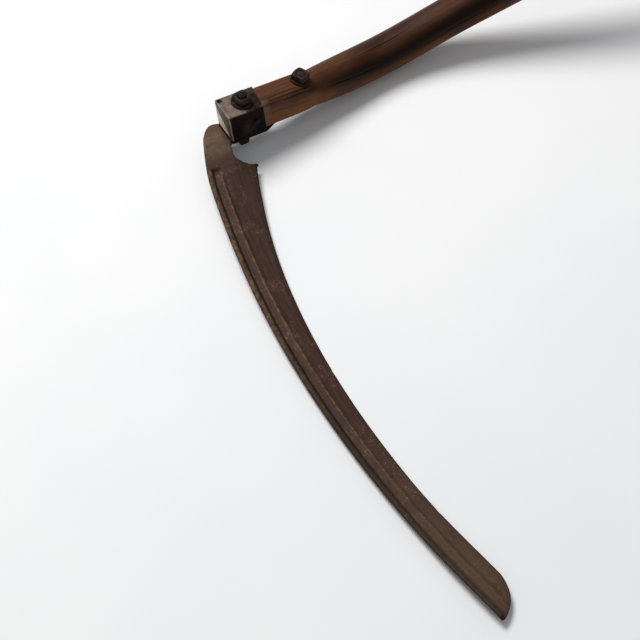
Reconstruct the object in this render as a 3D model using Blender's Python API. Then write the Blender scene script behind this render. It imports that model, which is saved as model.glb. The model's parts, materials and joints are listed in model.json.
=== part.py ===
"""American-pattern scythe lying at rest on a floor.

A steam-bent wooden snath ends in a squared head with an iron cap.  The blade's tang lies under the
head, on a heel plate, and a loop bolt draws it up.  Two nibs (hand grips) are clamped on the snath.
Metres, +Z up.  +X runs along the snath from its head, and the blade reaches along -Y.
"""

import math

import bmesh
import bpy
import numpy as np
from mathutils import Matrix, Vector

MM = 0.001
GAP = 0.3 * MM                      # clearance between pieces that touch or cut each other
SHARP_ANGLE = math.radians(38)

# Snath: stretches of its centre line.  Each knot is x, y, z (mm), heading and pitch (degrees).
HEAD_START = (0.0, 0.0, 45.5, 4.0, -5.0)
HEAD_STRAIGHT = 52.0 * MM
BELLY = (195.0, 26.0, 22.0, 7.0, 0.0)
RISE = (316.0, 24.5, 52.0, -9.0, 21.0)
LOWER_SEAT = (600.0, -18.0, 152.0, -6.0, 12.0)
UPPER_SEAT = (1035.0, -36.0, 160.0, 5.0, -18.0)
SEAT_LENGTH = 112.0 * MM
END_XY = (1350.0, -6.0)
END_HEADING = 7.0
END_PITCH = -32.0

SHAFT_RADIUS = 22.0 * MM            # belly and rise
LOWER_SEAT_RADIUS = 19.5 * MM
UPPER_SEAT_RADIUS = 18.5 * MM
END_RADIUS = 18.0 * MM
RING_POINTS = 24
STATION_STEP = 22.0 * MM
FIRST_STATION = 2.0 * MM            # least distance from the shoulder to the first free station

# Squared head of the snath: half width, half height and squareness (superellipse power).
TENON_HALF = (13.7 * MM, 16.9 * MM)
SHOULDER_HALF = (15.4 * MM, 19.2 * MM)
HEAD_POWER = 7.0
SHAFT_POWER = 2.0
CORNER_LOSS = 1.35                  # how fast the corners are lost between square and round
ROUNDED_BY = 165.0 * MM             # distance from the head at which the wood is fully round

# Iron cap on the head.
FERRULE_LENGTH = 43.0 * MM
MOUTH_REACH = {(-1, -1): 46.0 * MM, (-1, 1): 39.5 * MM}     # the near wall's edge slants
SHOULDER_AT = 46.3 * MM             # where the full wood is bare all round
FERRULE_HALF = (16.0 * MM, 19.3 * MM)
FERRULE_SHEET = 2.0 * MM
END_LEAN = 3.5 * MM                 # the closed end leans: top forward, bottom back, by this much
END_MIDDLE = 1.5 * MM

# Heel plate under the head.
PLATE_THICKNESS = 3.0 * MM
PLATE_HALF_WIDTH = 15.6 * MM
PLATE_TAIL_HALF = 7.2 * MM
PLATE_TAPER = 25.0 * MM
PLATE_END = 112.0 * MM
PLATE_STEP = 7.0 * MM
TAIL_ANGLES = (20, 40, 60, 75, 85)  # degrees round the rounded tail
TAIL_LIMIT = 0.98
REAR_BOLT_AT = 93.0 * MM

# Fasteners.
NAIL_AT = 33.0 * MM
NAIL_RADIUS = 1.4 * MM
NAIL_HEAD_RADIUS = 3.2 * MM
NAIL_RIM = 0.9 * MM
NAIL_DOME = 1.6 * MM
NAIL_DEPTH = 9.0 * MM               # into the tenon
NAIL_SIDES = 16
BOLT_RADIUS = 4.75 * MM
HOLE_RADIUS = BOLT_RADIUS + GAP
LOOP_BOLT_AT = 22.0 * MM
WASHER_RADIUS = 11.5 * MM
WASHER_THICKNESS = 2.0 * MM
NUT_ACROSS = 16.0 * MM
NUT_HEIGHT = 7.0 * MM
NUT_EDGE = 0.8 * MM
BOLT_PROUD = 2.0 * MM
LOOP_NUT_TURN = 8                   # degrees
REAR_NUT_TURN = 20
REAR_WASHER_RADIUS = 10.5 * MM
REAR_SEAT_RADIUS = 11.0 * MM
REAR_SEAT_DEPTH = 1.2 * MM
REAR_PROUD = 0.5 * MM
REAR_HEAD_RADIUS = 7.0 * MM
REAR_HEAD_HEIGHT = 3.2 * MM
ROUND_SIDES = 24
CUTTER_REACH = 40.0 * MM            # beyond every surface that a cutter has to pass

# Loop of the loop bolt, round the tang.
LOOP_LENGTH = 10.0 * MM             # along the snath
LOOP_HALF_OUTER = 13.4 * MM
LOOP_HALF_WINDOW = 10.4 * MM
LOOP_BAR = 5.0 * MM
LOOP_CROWN = 6.5 * MM
SHANK_ROOT = 3.0 * MM               # overlap of the shank and the loop's crown

# Blade.
TANG_THICKNESS = 6.0 * MM
KNOB_AT = 42.0 * MM
TANG_MIDDLE = 0.2 * MM              # the tang's middle, to the left of the head's
KNOB_RADIUS = 4.5 * MM
KNOB_ROOT = 3.0 * MM                # overlap of the knob and the tang
KNOB_SHORT = 0.2 * MM               # the knob's end is below the plate's upper face
TANG_CORNER = 1.3 * MM
TANG_OUTLINE = ((49.0, 4.0), (47.5, 5.6), (42.0, 7.0), (32.0, 7.4))     # along, half width (mm)
BLADE_TILT = math.radians(5.0)      # the back of the blade is held above its edge
BLADE_LENGTH = 582.0 * MM
HEEL_BACK = Vector((-35.0, -36.0)) * MM
CHORD_ANGLE = math.radians(-88.3)
BACK_SAG = 33.5 * MM
SAG_AT = 275.0 * MM
SAG_HEEL_SPAN = 283.0 * MM
SAG_TOE_SPAN = 301.0 * MM
SAG_HEEL_POWER = 2.0
SAG_TOE_POWER = 2.05
WIDTH_TOE = 31.0 * MM
WIDTH_HEEL_EXTRA = 29.3 * MM
WIDTH_DECAY = 115.0 * MM
TOE_FLARE = 2.4 * MM
FLARE_FROM = 420.0 * MM
FLARE_SPAN = 110.0 * MM
TOE_START = 539.0 * MM
TOE_LIMIT = 0.995
TOE_FULLNESS = 2.6                  # powers of the toe's rounding
TOE_BLUNTNESS = 0.75
THINNING_FROM = 300.0 * MM          # rib and bead get lower towards the toe
THINNING_SPAN = 250.0 * MM
HEEL_FAN_SPAN = 50.0 * MM           # sections fan out over this length to meet the neck
HEEL_FAN = 5.0 * MM
FULL_WIDTH = 30.0 * MM              # narrower sections are scaled down
FIRST_STOP = 12.0 * MM
FIRST_STEP = 10.0 * MM
STEP_GROWTH = 2.0 * MM
LONGEST_STEP = 26.0 * MM
TOE_REGION = 510.0 * MM
TOE_SHRINK = 0.75
LAST_STOP = 0.9 * MM                # from the tip
FLOOR_TOUCH = 300.0 * MM            # where the edge touches the floor, from the heel
HEEL_RISE = 10.0 * MM
TOE_RISE = 8.0 * MM
ROCKER_POWER = 1.6

# Nibs.
NIB_LEAN = math.radians(42)         # from upright towards the blade's side
STRAP_CLEARANCE = 0.8 * MM
STRAP_THICKNESS = 3.0 * MM
STRAP_HALF_WIDTH = 6.0 * MM
STRAP_SIDES = 40
ROD_RADIUS = 4.0 * MM
ROD_SIDES = 20
ROD_PROUD = 2.0 * MM
SADDLE_RADIUS = 17.0 * MM
SADDLE_RISE = 11.0 * MM
SADDLE_SKIRT = 7.0 * MM
COLLAR_LENGTH = 9.0 * MM
COLLAR_SHEET = 1.6 * MM
COLLAR_BELL = 0.4 * MM
COLLAR_ROLL = 3.0 * MM
GRIP_LENGTH = 112.0 * MM
GRIP_RADIUS = 16.5 * MM
GRIP_SPIGOT = 0.74                  # share of the radius inside the collar
GRIP_END = 0.68
GRIP_SEAT = 1.5 * MM                # the grip's foot stands this far off the saddle
# Along the grip from its collar (0 to 1), and the share of the full radius there.
GRIP_SWELL = (
    (0.0, 0.86), (0.12, 0.90), (0.35, 1.0), (0.6, 0.97), (0.8, 0.92), (0.93, 0.90), (0.98, 0.80),
)
END_WASHER_RADIUS = 10.0 * MM
END_WASHER_THICKNESS = 1.5 * MM
END_NUT_ACROSS = 13.0 * MM
END_NUT_HEIGHT = 7.0 * MM

COLOURS = {
    "snath_wood": ((0.105, 0.052, 0.030), 0.55, 0.0),
    "grip_wood": ((0.130, 0.070, 0.038), 0.60, 0.0),
    "cap_iron": ((0.090, 0.062, 0.045), 0.60, 0.7),
    "blade_iron": ((0.060, 0.038, 0.028), 0.55, 0.7),
    "bolt_iron": ((0.045, 0.034, 0.028), 0.55, 0.8),
}


# ---------------------------------------------------------------- general helpers

def clear_scene():
    for obj in list(bpy.data.objects):
        bpy.data.objects.remove(obj, do_unlink=True)


def make_materials():
    made = {}
    for name, (colour, roughness, metallic) in COLOURS.items():
        material = bpy.data.materials.new(name)
        material.use_nodes = True
        shader = material.node_tree.nodes["Principled BSDF"]
        shader.inputs["Base Color"].default_value = (*colour, 1.0)
        shader.inputs["Roughness"].default_value = roughness
        shader.inputs["Metallic"].default_value = metallic
        material.diffuse_color = (*colour, 1.0)
        made[name] = material
    return made


def make_empty(name, parent=None, matrix=None):
    empty = bpy.data.objects.new(name, None)
    bpy.context.collection.objects.link(empty)
    empty.parent = parent
    if matrix is not None:
        empty.matrix_local = matrix
    return empty


def make_object(name, bm, parent, material=None):
    """Turn a bmesh into a named object whose faces point outwards."""
    bmesh.ops.recalc_face_normals(bm, faces=bm.faces[:])
    mesh = bpy.data.meshes.new(name)
    bm.to_mesh(mesh)
    bm.free()
    mesh.shade_smooth()
    mesh.set_sharp_from_angle(angle=SHARP_ANGLE)
    if material is not None:
        mesh.materials.append(material)
    obj = bpy.data.objects.new(name, mesh)
    bpy.context.collection.objects.link(obj)
    obj.parent = parent
    return obj


def make_cutter(name, bm, parent):
    cutter = make_object(name, bm, parent)
    cutter.hide_render = True
    cutter.display_type = "WIRE"
    return cutter


def add_boolean(obj, cutter, operation="DIFFERENCE"):
    modifier = obj.modifiers.new(cutter.name, "BOOLEAN")
    modifier.operation = operation
    modifier.object = cutter


def add_bevel(obj, width, segments=2):
    modifier = obj.modifiers.new("edge_round", "BEVEL")
    modifier.width = width
    modifier.segments = segments
    modifier.limit_method = "ANGLE"


def bridge_rings(bm, rings, closed=False):
    """Skin a list of equal rings of points, and cap both ends unless the skin closes on itself."""
    loops = [[bm.verts.new(point) for point in ring] for ring in rings]
    count = len(rings[0])
    pairs = list(zip(loops[:-1], loops[1:]))
    if closed:
        pairs.append((loops[-1], loops[0]))
    for first, second in pairs:
        for i in range(count):
            j = (i + 1) % count
            bm.faces.new((first[i], first[j], second[j], second[i]))
    if not closed:
        bm.faces.new(loops[0])
        bm.faces.new(loops[-1])


def turned(profile, sides=ROUND_SIDES):
    """A turned piece: profile points (radius, height) run once round a closed outline."""
    bm = bmesh.new()
    rings = []
    for k in range(sides):
        angle = 2 * math.pi * k / sides
        cos_a, sin_a = math.cos(angle), math.sin(angle)
        rings.append([Vector((r * cos_a, r * sin_a, z)) for r, z in profile])
    bridge_rings(bm, rings, closed=True)
    return bm


def washer_bm(inner, outer, low, high, sides=ROUND_SIDES):
    return turned([(inner, low), (outer, low), (outer, high), (inner, high)], sides)


def circle(radius, height, sides=ROUND_SIDES):
    angles = [2 * math.pi * k / sides for k in range(sides)]
    return [Vector((radius * math.cos(a), radius * math.sin(a), height)) for a in angles]


def rod_bm(radius, low, high, sides=ROUND_SIDES):
    bm = bmesh.new()
    bridge_rings(bm, [circle(radius, low, sides), circle(radius, high, sides)])
    return bm


def lying(bm):
    """The same piece turned from standing along Z to lying along X."""
    bm.transform(Matrix.Rotation(math.radians(90), 4, "Y"))
    return bm


def box_bm(low, high):
    bm = bmesh.new()
    corners = [(low[0], low[1]), (high[0], low[1]), (high[0], high[1]), (low[0], high[1])]
    bridge_rings(bm, [[Vector((x, y, z)) for x, y in corners] for z in (low[2], high[2])])
    return bm


def nut_bm(across, hole, low, high, sides):
    """A flat-sided nut with a round hole; its outline has the same points as the hole's."""
    bm = bmesh.new()
    rings = []
    part = 2 * math.pi / sides
    for k in range(ROUND_SIDES):
        angle = 2 * math.pi * k / ROUND_SIDES
        off_flat = (angle + part / 2) % part - part / 2
        outer = across / 2 / math.cos(off_flat)
        direction = Vector((math.cos(angle), math.sin(angle), 0))
        rings.append([
            direction * hole + Vector((0, 0, low)),
            direction * outer + Vector((0, 0, low)),
            direction * outer + Vector((0, 0, high)),
            direction * hole + Vector((0, 0, high)),
        ])
    bridge_rings(bm, rings, closed=True)
    return bm


# ---------------------------------------------------------------- snath centre line

def direction_of(heading, pitch):
    h, p = math.radians(heading), math.radians(pitch)
    return Vector((math.cos(h) * math.cos(p), math.sin(h) * math.cos(p), math.sin(p)))


def knot(values, radius):
    x, y, z, heading, pitch = values
    return Vector((x, y, z)) * MM, direction_of(heading, pitch), radius


def straight_after(first, length):
    point, direction, radius = first
    return point + direction * length, direction, radius


def snath_knots():
    head = knot(HEAD_START, SHAFT_RADIUS)
    lower = knot(LOWER_SEAT, LOWER_SEAT_RADIUS)
    upper = knot(UPPER_SEAT, UPPER_SEAT_RADIUS)
    end_height = END_RADIUS * math.cos(math.radians(END_PITCH)) / MM
    end = knot((*END_XY, end_height, END_HEADING, END_PITCH), END_RADIUS)
    return [
        head, straight_after(head, HEAD_STRAIGHT),
        knot(BELLY, SHAFT_RADIUS), knot(RISE, SHAFT_RADIUS),
        lower, straight_after(lower, SEAT_LENGTH),
        upper, straight_after(upper, SEAT_LENGTH), end,
    ]


def hermite(first, second, t):
    """Point and direction at t (0 to 1) on the smooth curve between two knots."""
    p0, d0, _ = first
    p1, d1, _ = second
    span = (p1 - p0).length
    m0, m1 = d0 * span, d1 * span
    point = (
        p0 * (2 * t**3 - 3 * t**2 + 1) + m0 * (t**3 - 2 * t**2 + t)
        + p1 * (-2 * t**3 + 3 * t**2) + m1 * (t**3 - t**2)
    )
    slope = (
        p0 * (6 * t**2 - 6 * t) + m0 * (3 * t**2 - 4 * t + 1)
        + p1 * (-6 * t**2 + 6 * t) + m1 * (3 * t**2 - 2 * t)
    )
    return point, slope.normalized()


def ease(t):
    t = min(max(t, 0.0), 1.0)
    return t * t * (3 - 2 * t)


def centre_line():
    """Stations (distance, point, direction, radius) along the whole snath."""
    knots = snath_knots()
    stations = []
    travelled = 0.0
    last = None
    for first, second in zip(knots[:-1], knots[1:]):
        steps = max(2, round((second[0] - first[0]).length / STATION_STEP))
        for i in range(steps + 1):
            if i == 0 and stations:
                continue
            t = i / steps
            point, direction = hermite(first, second, t)
            if last is not None:
                travelled += (point - last).length
            last = point
            radius = first[2] + (second[2] - first[2]) * ease(t)
            stations.append((travelled, point, direction, radius))
    return stations


def station_at(stations, distance):
    """The centre line's point, direction and radius at a distance from the head."""
    distances = [s[0] for s in stations]
    j = int(np.searchsorted(distances, distance))
    j = min(max(j, 1), len(stations) - 1)
    low, high = stations[j - 1], stations[j]
    t = (distance - low[0]) / (high[0] - low[0])
    radius = low[3] + (high[3] - low[3]) * t
    return low[1].lerp(high[1], t), low[2].lerp(high[2], t).normalized(), radius


def frame_at(point, direction):
    """Axes of a cross-section: X along the wood, Y to its left, Z as upright as it can be."""
    side = Vector((0, 0, 1)).cross(direction).normalized()
    upright = direction.cross(side)
    return Matrix.Translation(point) @ Matrix((direction, side, upright)).transposed().to_4x4()


def section_of(distance, radius):
    """Half width, half height and squareness of the wood at a distance from the head."""
    t = ease((distance - SHOULDER_AT) / (ROUNDED_BY - SHOULDER_AT))
    half_width = SHOULDER_HALF[0] + (radius - SHOULDER_HALF[0]) * t
    half_height = SHOULDER_HALF[1] + (radius - SHOULDER_HALF[1]) * t
    power = HEAD_POWER + (SHAFT_POWER - HEAD_POWER) * min(1.0, CORNER_LOSS * math.sqrt(t))
    return half_width, half_height, max(power, SHAFT_POWER)


def section_ring(matrix, half_width, half_height, power):
    ring = []
    for k in range(RING_POINTS):
        angle = 2 * math.pi * (k + 0.5) / RING_POINTS
        cos_a, sin_a = math.cos(angle), math.sin(angle)
        reach = (abs(cos_a) ** power + abs(sin_a) ** power) ** (-1 / power)
        ring.append(matrix @ Vector((0, half_width * reach * cos_a, half_height * reach * sin_a)))
    return ring


# ---------------------------------------------------------------- snath and its head

def end_face_at(height):
    """Distance along the head at which the leaning closed end of the cap stands, at a height."""
    return END_MIDDLE - END_LEAN * height / FERRULE_HALF[1]


def mouth_at(y, z):
    """How far along the head the cap's open edge reaches, between its four corners."""
    inner_width, inner_height = FERRULE_HALF[0] - FERRULE_SHEET, FERRULE_HALF[1] - FERRULE_SHEET
    far = min(max((y / inner_width + 1) / 2, 0.0), 1.0)
    high = min(max((z / inner_height + 1) / 2, 0.0), 1.0)
    near_edge = MOUTH_REACH[(-1, -1)] * (1 - high) + MOUTH_REACH[(-1, 1)] * high
    return near_edge * (1 - far) + FERRULE_LENGTH * far


def make_snath(root, stations, material):
    head = frame_at(stations[0][1], stations[0][2])
    tenon = section_ring(Matrix.Identity(4), *TENON_HALF, HEAD_POWER)
    shoulder = section_ring(Matrix.Identity(4), *SHOULDER_HALF, HEAD_POWER)
    wall = FERRULE_SHEET + GAP
    rings = [[head @ Vector((end_face_at(p.z) + wall, p.y, p.z)) for p in tenon]]
    for ring in (tenon, shoulder):
        rings.append([head @ Vector((mouth_at(p.y, p.z) + GAP, p.y, p.z)) for p in ring])
    for distance, point, direction, radius in stations:
        if distance > SHOULDER_AT + FIRST_STATION:
            section = section_of(distance, radius)
            rings.append(section_ring(frame_at(point, direction), *section))
    bm = bmesh.new()
    bridge_rings(bm, rings)
    return make_object("snath", bm, root, material)


def make_ferrule(head, material):
    """A folded sheet cap: four walls and a leaning closed end, open towards the wood."""
    half_width, half_height = FERRULE_HALF
    inner_width, inner_height = half_width - FERRULE_SHEET, half_height - FERRULE_SHEET
    outer_end, outer_mouth, inner_mouth, inner_end = [], [], [], []
    for side, up in ((-1, -1), (1, -1), (1, 1), (-1, 1)):
        mouth = MOUTH_REACH.get((side, up), FERRULE_LENGTH)
        y, z = side * half_width, up * half_height
        outer_end.append(Vector((end_face_at(z), y, z)))
        outer_mouth.append(Vector((mouth, y, z)))
        y, z = side * inner_width, up * inner_height
        inner_mouth.append(Vector((mouth, y, z)))
        inner_end.append(Vector((end_face_at(z) + FERRULE_SHEET, y, z)))
    bm = bmesh.new()
    bridge_rings(bm, [outer_end, outer_mouth, inner_mouth, inner_end])
    return make_object("snath_ferrule", bm, head, material)


def plate_half_width(distance):
    taper = ease((distance - FERRULE_LENGTH) / PLATE_TAPER)
    half = PLATE_HALF_WIDTH + (PLATE_TAIL_HALF - PLATE_HALF_WIDTH) * taper
    tail = PLATE_END - PLATE_TAIL_HALF
    if distance > tail:
        inside = min((distance - tail) / PLATE_TAIL_HALF, TAIL_LIMIT)
        half = PLATE_TAIL_HALF * math.sqrt(1 - inside * inside)
    return half


def plate_top(distance, radius):
    """Height of the plate's upper face, below the wood and the cap."""
    if distance <= SHOULDER_AT:
        return -(FERRULE_HALF[1] + GAP)
    return -max(section_of(distance, radius)[1], FERRULE_HALF[1]) - GAP


def make_heel_plate(root, stations, material):
    samples = [end_face_at(-FERRULE_HALF[1]), SHOULDER_AT]
    tail = PLATE_END - PLATE_TAIL_HALF
    samples += list(np.arange(SHOULDER_AT + PLATE_STEP / 2, tail, PLATE_STEP))
    samples += [tail + PLATE_TAIL_HALF * math.sin(math.radians(a)) for a in TAIL_ANGLES]
    rings = []
    for distance in samples:
        point, direction, radius = station_at(stations, distance)
        matrix = frame_at(point, direction)
        half = plate_half_width(distance)
        top = plate_top(distance, radius)
        low = top - PLATE_THICKNESS
        rings.append([matrix @ Vector((0, y, z)) for y, z in rectangle(half, low, top)])
    bm = bmesh.new()
    bridge_rings(bm, rings)
    return make_object("heel_plate", bm, root, material)


def tang_top():
    return -(FERRULE_HALF[1] + GAP + PLATE_THICKNESS + GAP)


def rectangle(half, low, high):
    return (-half, low), (half, low), (half, high), (-half, high)


def make_loop_bolt(head, material):
    """Shank and loop in one forging; the loop's window holds the tang."""
    window_top = tang_top() + GAP
    window_low = tang_top() - TANG_THICKNESS - GAP
    low = window_low - LOOP_BAR
    high = window_top + LOOP_CROWN
    half = LOOP_LENGTH / 2
    place = Matrix.Translation((LOOP_BOLT_AT, 0, 0))
    bm = bmesh.new()
    outer = rectangle(LOOP_HALF_OUTER, low, high)
    inner = rectangle(LOOP_HALF_WINDOW, window_low, window_top)
    rings = []
    for (oy, oz), (iy, iz) in zip(outer, inner):
        rings.append([
            place @ Vector((-half, oy, oz)), place @ Vector((half, oy, oz)),
            place @ Vector((half, iy, iz)), place @ Vector((-half, iy, iz)),
        ])
    bridge_rings(bm, rings, closed=True)
    bolt = make_object("loop_bolt", bm, head, material)
    top = FERRULE_HALF[1] + GAP + WASHER_THICKNESS + GAP + NUT_HEIGHT + BOLT_PROUD
    shank = rod_bm(BOLT_RADIUS, high - SHANK_ROOT, top)
    shank.transform(place)
    add_boolean(bolt, make_cutter("loop_bolt_shank", shank, head), "UNION")
    return bolt


def groove_box():
    """Room for the loop's crown, through the plate and the cap and into the wood."""
    half = LOOP_LENGTH / 2 + GAP
    side = LOOP_HALF_OUTER + GAP
    top = tang_top() + GAP + LOOP_CROWN + GAP
    return (LOOP_BOLT_AT - half, -side, tang_top() - MM), (LOOP_BOLT_AT + half, side, top)


def stack_on(parent, name, base, turn, material, washer_radius=WASHER_RADIUS):
    """Washer and square nut on a bolt whose axis is the parent's Z."""
    washer_low = base + GAP
    washer_high = washer_low + WASHER_THICKNESS
    washer = washer_bm(HOLE_RADIUS, washer_radius, washer_low, washer_high)
    make_object(f"{name}_washer", washer, parent, material)
    nut_low = washer_high + GAP
    nut = nut_bm(NUT_ACROSS, HOLE_RADIUS, nut_low, nut_low + NUT_HEIGHT, 4)
    nut.transform(Matrix.Rotation(math.radians(turn), 4, "Z"))
    nut_obj = make_object(f"{name}_nut", nut, parent, material)
    add_bevel(nut_obj, NUT_EDGE)
    return nut_low + NUT_HEIGHT


def make_rear_bolt(root, stations, material):
    """Bolt through the wood and the plate's tail, with a domed head below."""
    point, direction, radius = station_at(stations, REAR_BOLT_AT)
    seat = make_empty("rear_bolt_axis", root, frame_at(point, direction))
    under = plate_top(REAR_BOLT_AT, radius) - PLATE_THICKNESS - 3 * GAP     # clear of the plate's bend
    flat = section_of(REAR_BOLT_AT, radius)[1] - REAR_SEAT_DEPTH
    nut_top = stack_on(seat, "rear", flat, REAR_NUT_TURN, material, REAR_WASHER_RADIUS)
    outline = (
        (0.7 * REAR_HEAD_RADIUS, under - REAR_HEAD_HEIGHT),
        (REAR_HEAD_RADIUS, under - 0.45 * REAR_HEAD_HEIGHT),
        (REAR_HEAD_RADIUS, under), (BOLT_RADIUS, under), (BOLT_RADIUS, nut_top + REAR_PROUD),
    )
    bm = bmesh.new()
    bridge_rings(bm, [circle(radius, height) for radius, height in outline])
    make_object("rear_bolt", bm, seat, material)
    hole = rod_bm(HOLE_RADIUS, -CUTTER_REACH, CUTTER_REACH)
    spot = rod_bm(REAR_SEAT_RADIUS, flat, CUTTER_REACH)
    return make_cutter("rear_bolt_hole", hole, seat), make_cutter("rear_washer_seat", spot, seat)


def across_head(bm, side):
    """Turn a piece made along +Z so that it points out of the head's near or far side."""
    turn = Matrix.Rotation(-side * math.radians(90), 4, "X")
    bm.transform(Matrix.Translation((NAIL_AT, 0, 0)) @ turn)
    return bm


def make_nail(head, name, side, material):
    """A round-headed nail through the cap's side wall into the wood, and the hole for it."""
    wall = FERRULE_HALF[0] + GAP
    tip = TENON_HALF[0] - NAIL_DEPTH
    outline = (
        (NAIL_RADIUS, tip), (NAIL_RADIUS, wall), (NAIL_HEAD_RADIUS, wall),
        (NAIL_HEAD_RADIUS, wall + NAIL_RIM), (0.6 * NAIL_HEAD_RADIUS, wall + NAIL_DOME),
    )
    nail = bmesh.new()
    bridge_rings(nail, [circle(radius, height, NAIL_SIDES) for radius, height in outline])
    make_object(name, across_head(nail, side), head, material)
    hole = rod_bm(NAIL_RADIUS + GAP, tip - MM, wall + MM, NAIL_SIDES)
    return make_cutter(f"{name}_hole", across_head(hole, side), head)


# ---------------------------------------------------------------- blade

def bow(u):
    """Offset of the blade's back from its chord, at a distance from the heel."""
    if u < SAG_AT:
        return -BACK_SAG * (1 - (abs(u - SAG_AT) / SAG_HEEL_SPAN) ** SAG_HEEL_POWER)
    return -BACK_SAG * (1 - (abs(u - SAG_AT) / SAG_TOE_SPAN) ** SAG_TOE_POWER)


def blade_width(u):
    width = WIDTH_TOE + WIDTH_HEEL_EXTRA * math.exp(-u / WIDTH_DECAY)
    return width + TOE_FLARE * ease((u - FLARE_FROM) / FLARE_SPAN)


def edge_offset(u):
    """Offset of the cutting edge from the chord; the toe is rounded off to the point."""
    if u < TOE_START:
        return bow(u) + blade_width(u)
    at_toe = bow(TOE_START) + blade_width(TOE_START)
    t = min((u - TOE_START) / (BLADE_LENGTH - TOE_START), TOE_LIMIT)
    return at_toe * (1 - t**TOE_FULLNESS) ** TOE_BLUNTNESS


def edge_height(u):
    away = u - FLOOR_TOUCH
    if away < 0:
        return HEEL_RISE * (-away / FLOOR_TOUCH) ** ROCKER_POWER
    return TOE_RISE * (away / (BLADE_LENGTH - FLOOR_TOUCH)) ** ROCKER_POWER


def on_blade(u, v):
    along = Vector((math.cos(CHORD_ANGLE), math.sin(CHORD_ANGLE)))
    across = Vector((-along.y, along.x))
    return HEEL_BACK + along * u + across * v


def web_profile(width, toe):
    """Upper side of the blade from its back to its edge: back rib, groove, band, bead, thin web."""
    scale = min(1.0, width / FULL_WIDTH)
    rib = (5.6 - 2.6 * toe) * scale
    bead = (4.0 - 1.4 * toe) * scale
    rows = [
        (0.2, 0.75 * rib), (1.4, rib), (4.2, rib), (5.8, 0.75 * rib),
        (6.9, 0.42 * rib), (8.4, 0.40 * rib), (9.8, 0.74 * bead), (13.4, 0.78 * bead),
        (14.7, bead), (16.3, bead), (17.8, 0.62 * bead),
    ]
    points = [(v * MM * scale, h * MM) for v, h in rows]
    points += [(0.72 * width, 1.9 * MM * scale), (width - 2.4 * MM * scale, 1.1 * MM), (width, 0.5 * MM)]
    return points


def plate_profile(width):
    """Upper side of the neck and tang: a flat bar with eased corners, in as many points as the web."""
    flats = len(web_profile(FULL_WIDTH, 0.0)) - 2
    points = [(0.0, TANG_THICKNESS - TANG_CORNER)]
    for i in range(flats):
        along = (width - 2 * TANG_CORNER) * i / (flats - 1)
        points.append((TANG_CORNER + along, TANG_THICKNESS))
    points.append((width, TANG_THICKNESS - TANG_CORNER))
    return points


def blade_section(back, edge, top):
    """Ring of points: the flat underside from edge to back, then the shaped top from back to edge."""
    across = (edge - back).normalized()
    upright = (Vector((0, 0, 1)) - across * across.z).normalized()
    width = (edge - back).length
    ring = [edge - across * (width * part) for part in (0.0, 1 / 3, 2 / 3)] + [back]
    ring += [back + across * v + upright * h for v, h in top]
    return ring


# The neck turns the tang into the blade.  Pairs of points on its inner and outer outline (mm).
NECK_OUTLINE = (
    ((27.0, -5.6), (27.0, 8.6)),
    ((15.0, -7.0), (15.0, 9.0)),
    ((7.0, -8.2), (5.0, 18.5)),
    ((3.2, -12.6), (-8.0, 20.0)),
    ((1.2, -17.5), (-19.0, 9.5)),
    ((0.2, -22.5), (-25.5, -4.5)),
    ((0.4, -27.0), (-30.5, -17.5)),
    ((3.0, -32.0), (-34.5, -29.5)),
    ((10.5, -40.3), (-37.0, -39.5)),
    ((19.6, -44.6), (-38.6, -45.5)),
)
NECK_STEPS = 2
DROP_FROM = 2.5                     # pairs before the neck leaves the tang's plane


def catmull(points, i, t):
    p0 = points[max(i - 1, 0)]
    p1, p2 = points[i], points[i + 1]
    p3 = points[min(i + 2, len(points) - 1)]
    return 0.5 * (2 * p1 + (p2 - p0) * t + (2 * p0 - 5 * p1 + 4 * p2 - p3) * t * t
                  + (3 * p1 - p0 - 3 * p2 + p3) * t**3)


def tang_plane_height(x, y, head):
    """Height of the tang's underside at a place in plan."""
    low = tang_top() - TANG_THICKNESS
    origin = head @ Vector((0, 0, low))
    normal = (head.to_3x3() @ Vector((0, 0, 1))).normalized()
    return origin.z - (normal.x * (x - origin.x) + normal.y * (y - origin.y)) / normal.z


def tang_rings(head):
    """The bar under the head, from its tip to where the neck begins."""
    rings = []
    low = tang_top() - TANG_THICKNESS
    for x, half in TANG_OUTLINE:
        back = head @ Vector((x * MM, TANG_MIDDLE + half * MM, low))
        edge = head @ Vector((x * MM, TANG_MIDDLE - half * MM, low))
        rings.append(blade_section(back, edge, plate_profile((edge - back).length)))
    return rings


def neck_rings(head):
    inner = [Vector(pair[0]) * MM for pair in NECK_OUTLINE]
    outer = [Vector(pair[1]) * MM for pair in NECK_OUTLINE]
    rings = []
    spans = len(NECK_OUTLINE) - 1
    heel_edge = edge_height(FIRST_STOP)
    heel_back = heel_edge + blade_width(FIRST_STOP) * math.sin(BLADE_TILT)
    for i in range(spans):
        for step in range(NECK_STEPS):
            t = step / NECK_STEPS
            a, b = catmull(inner, i, t), catmull(outer, i, t)
            drop = ease((i + t - DROP_FROM) / (spans - DROP_FROM))
            edge_z = tang_plane_height(a.x, a.y, head) * (1 - drop) + heel_edge * drop
            back_z = tang_plane_height(b.x, b.y, head) * (1 - drop) + heel_back * drop
            edge, back = Vector((a.x, a.y, edge_z)), Vector((b.x, b.y, back_z))
            rings.append(blade_section(back, edge, plate_profile((edge - back).length)))
    return rings


def web_stops():
    """Distances from the heel: steps that lengthen along the blade and shorten again at its toe."""
    stops = [FIRST_STOP]
    step = FIRST_STEP
    while stops[-1] < TOE_REGION:
        stops.append(stops[-1] + step)
        step = min(step + STEP_GROWTH, LONGEST_STEP)
    left = BLADE_LENGTH - stops[-1]
    while left * TOE_SHRINK > LAST_STOP:
        left *= TOE_SHRINK
        stops.append(BLADE_LENGTH - left)
    return stops


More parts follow.
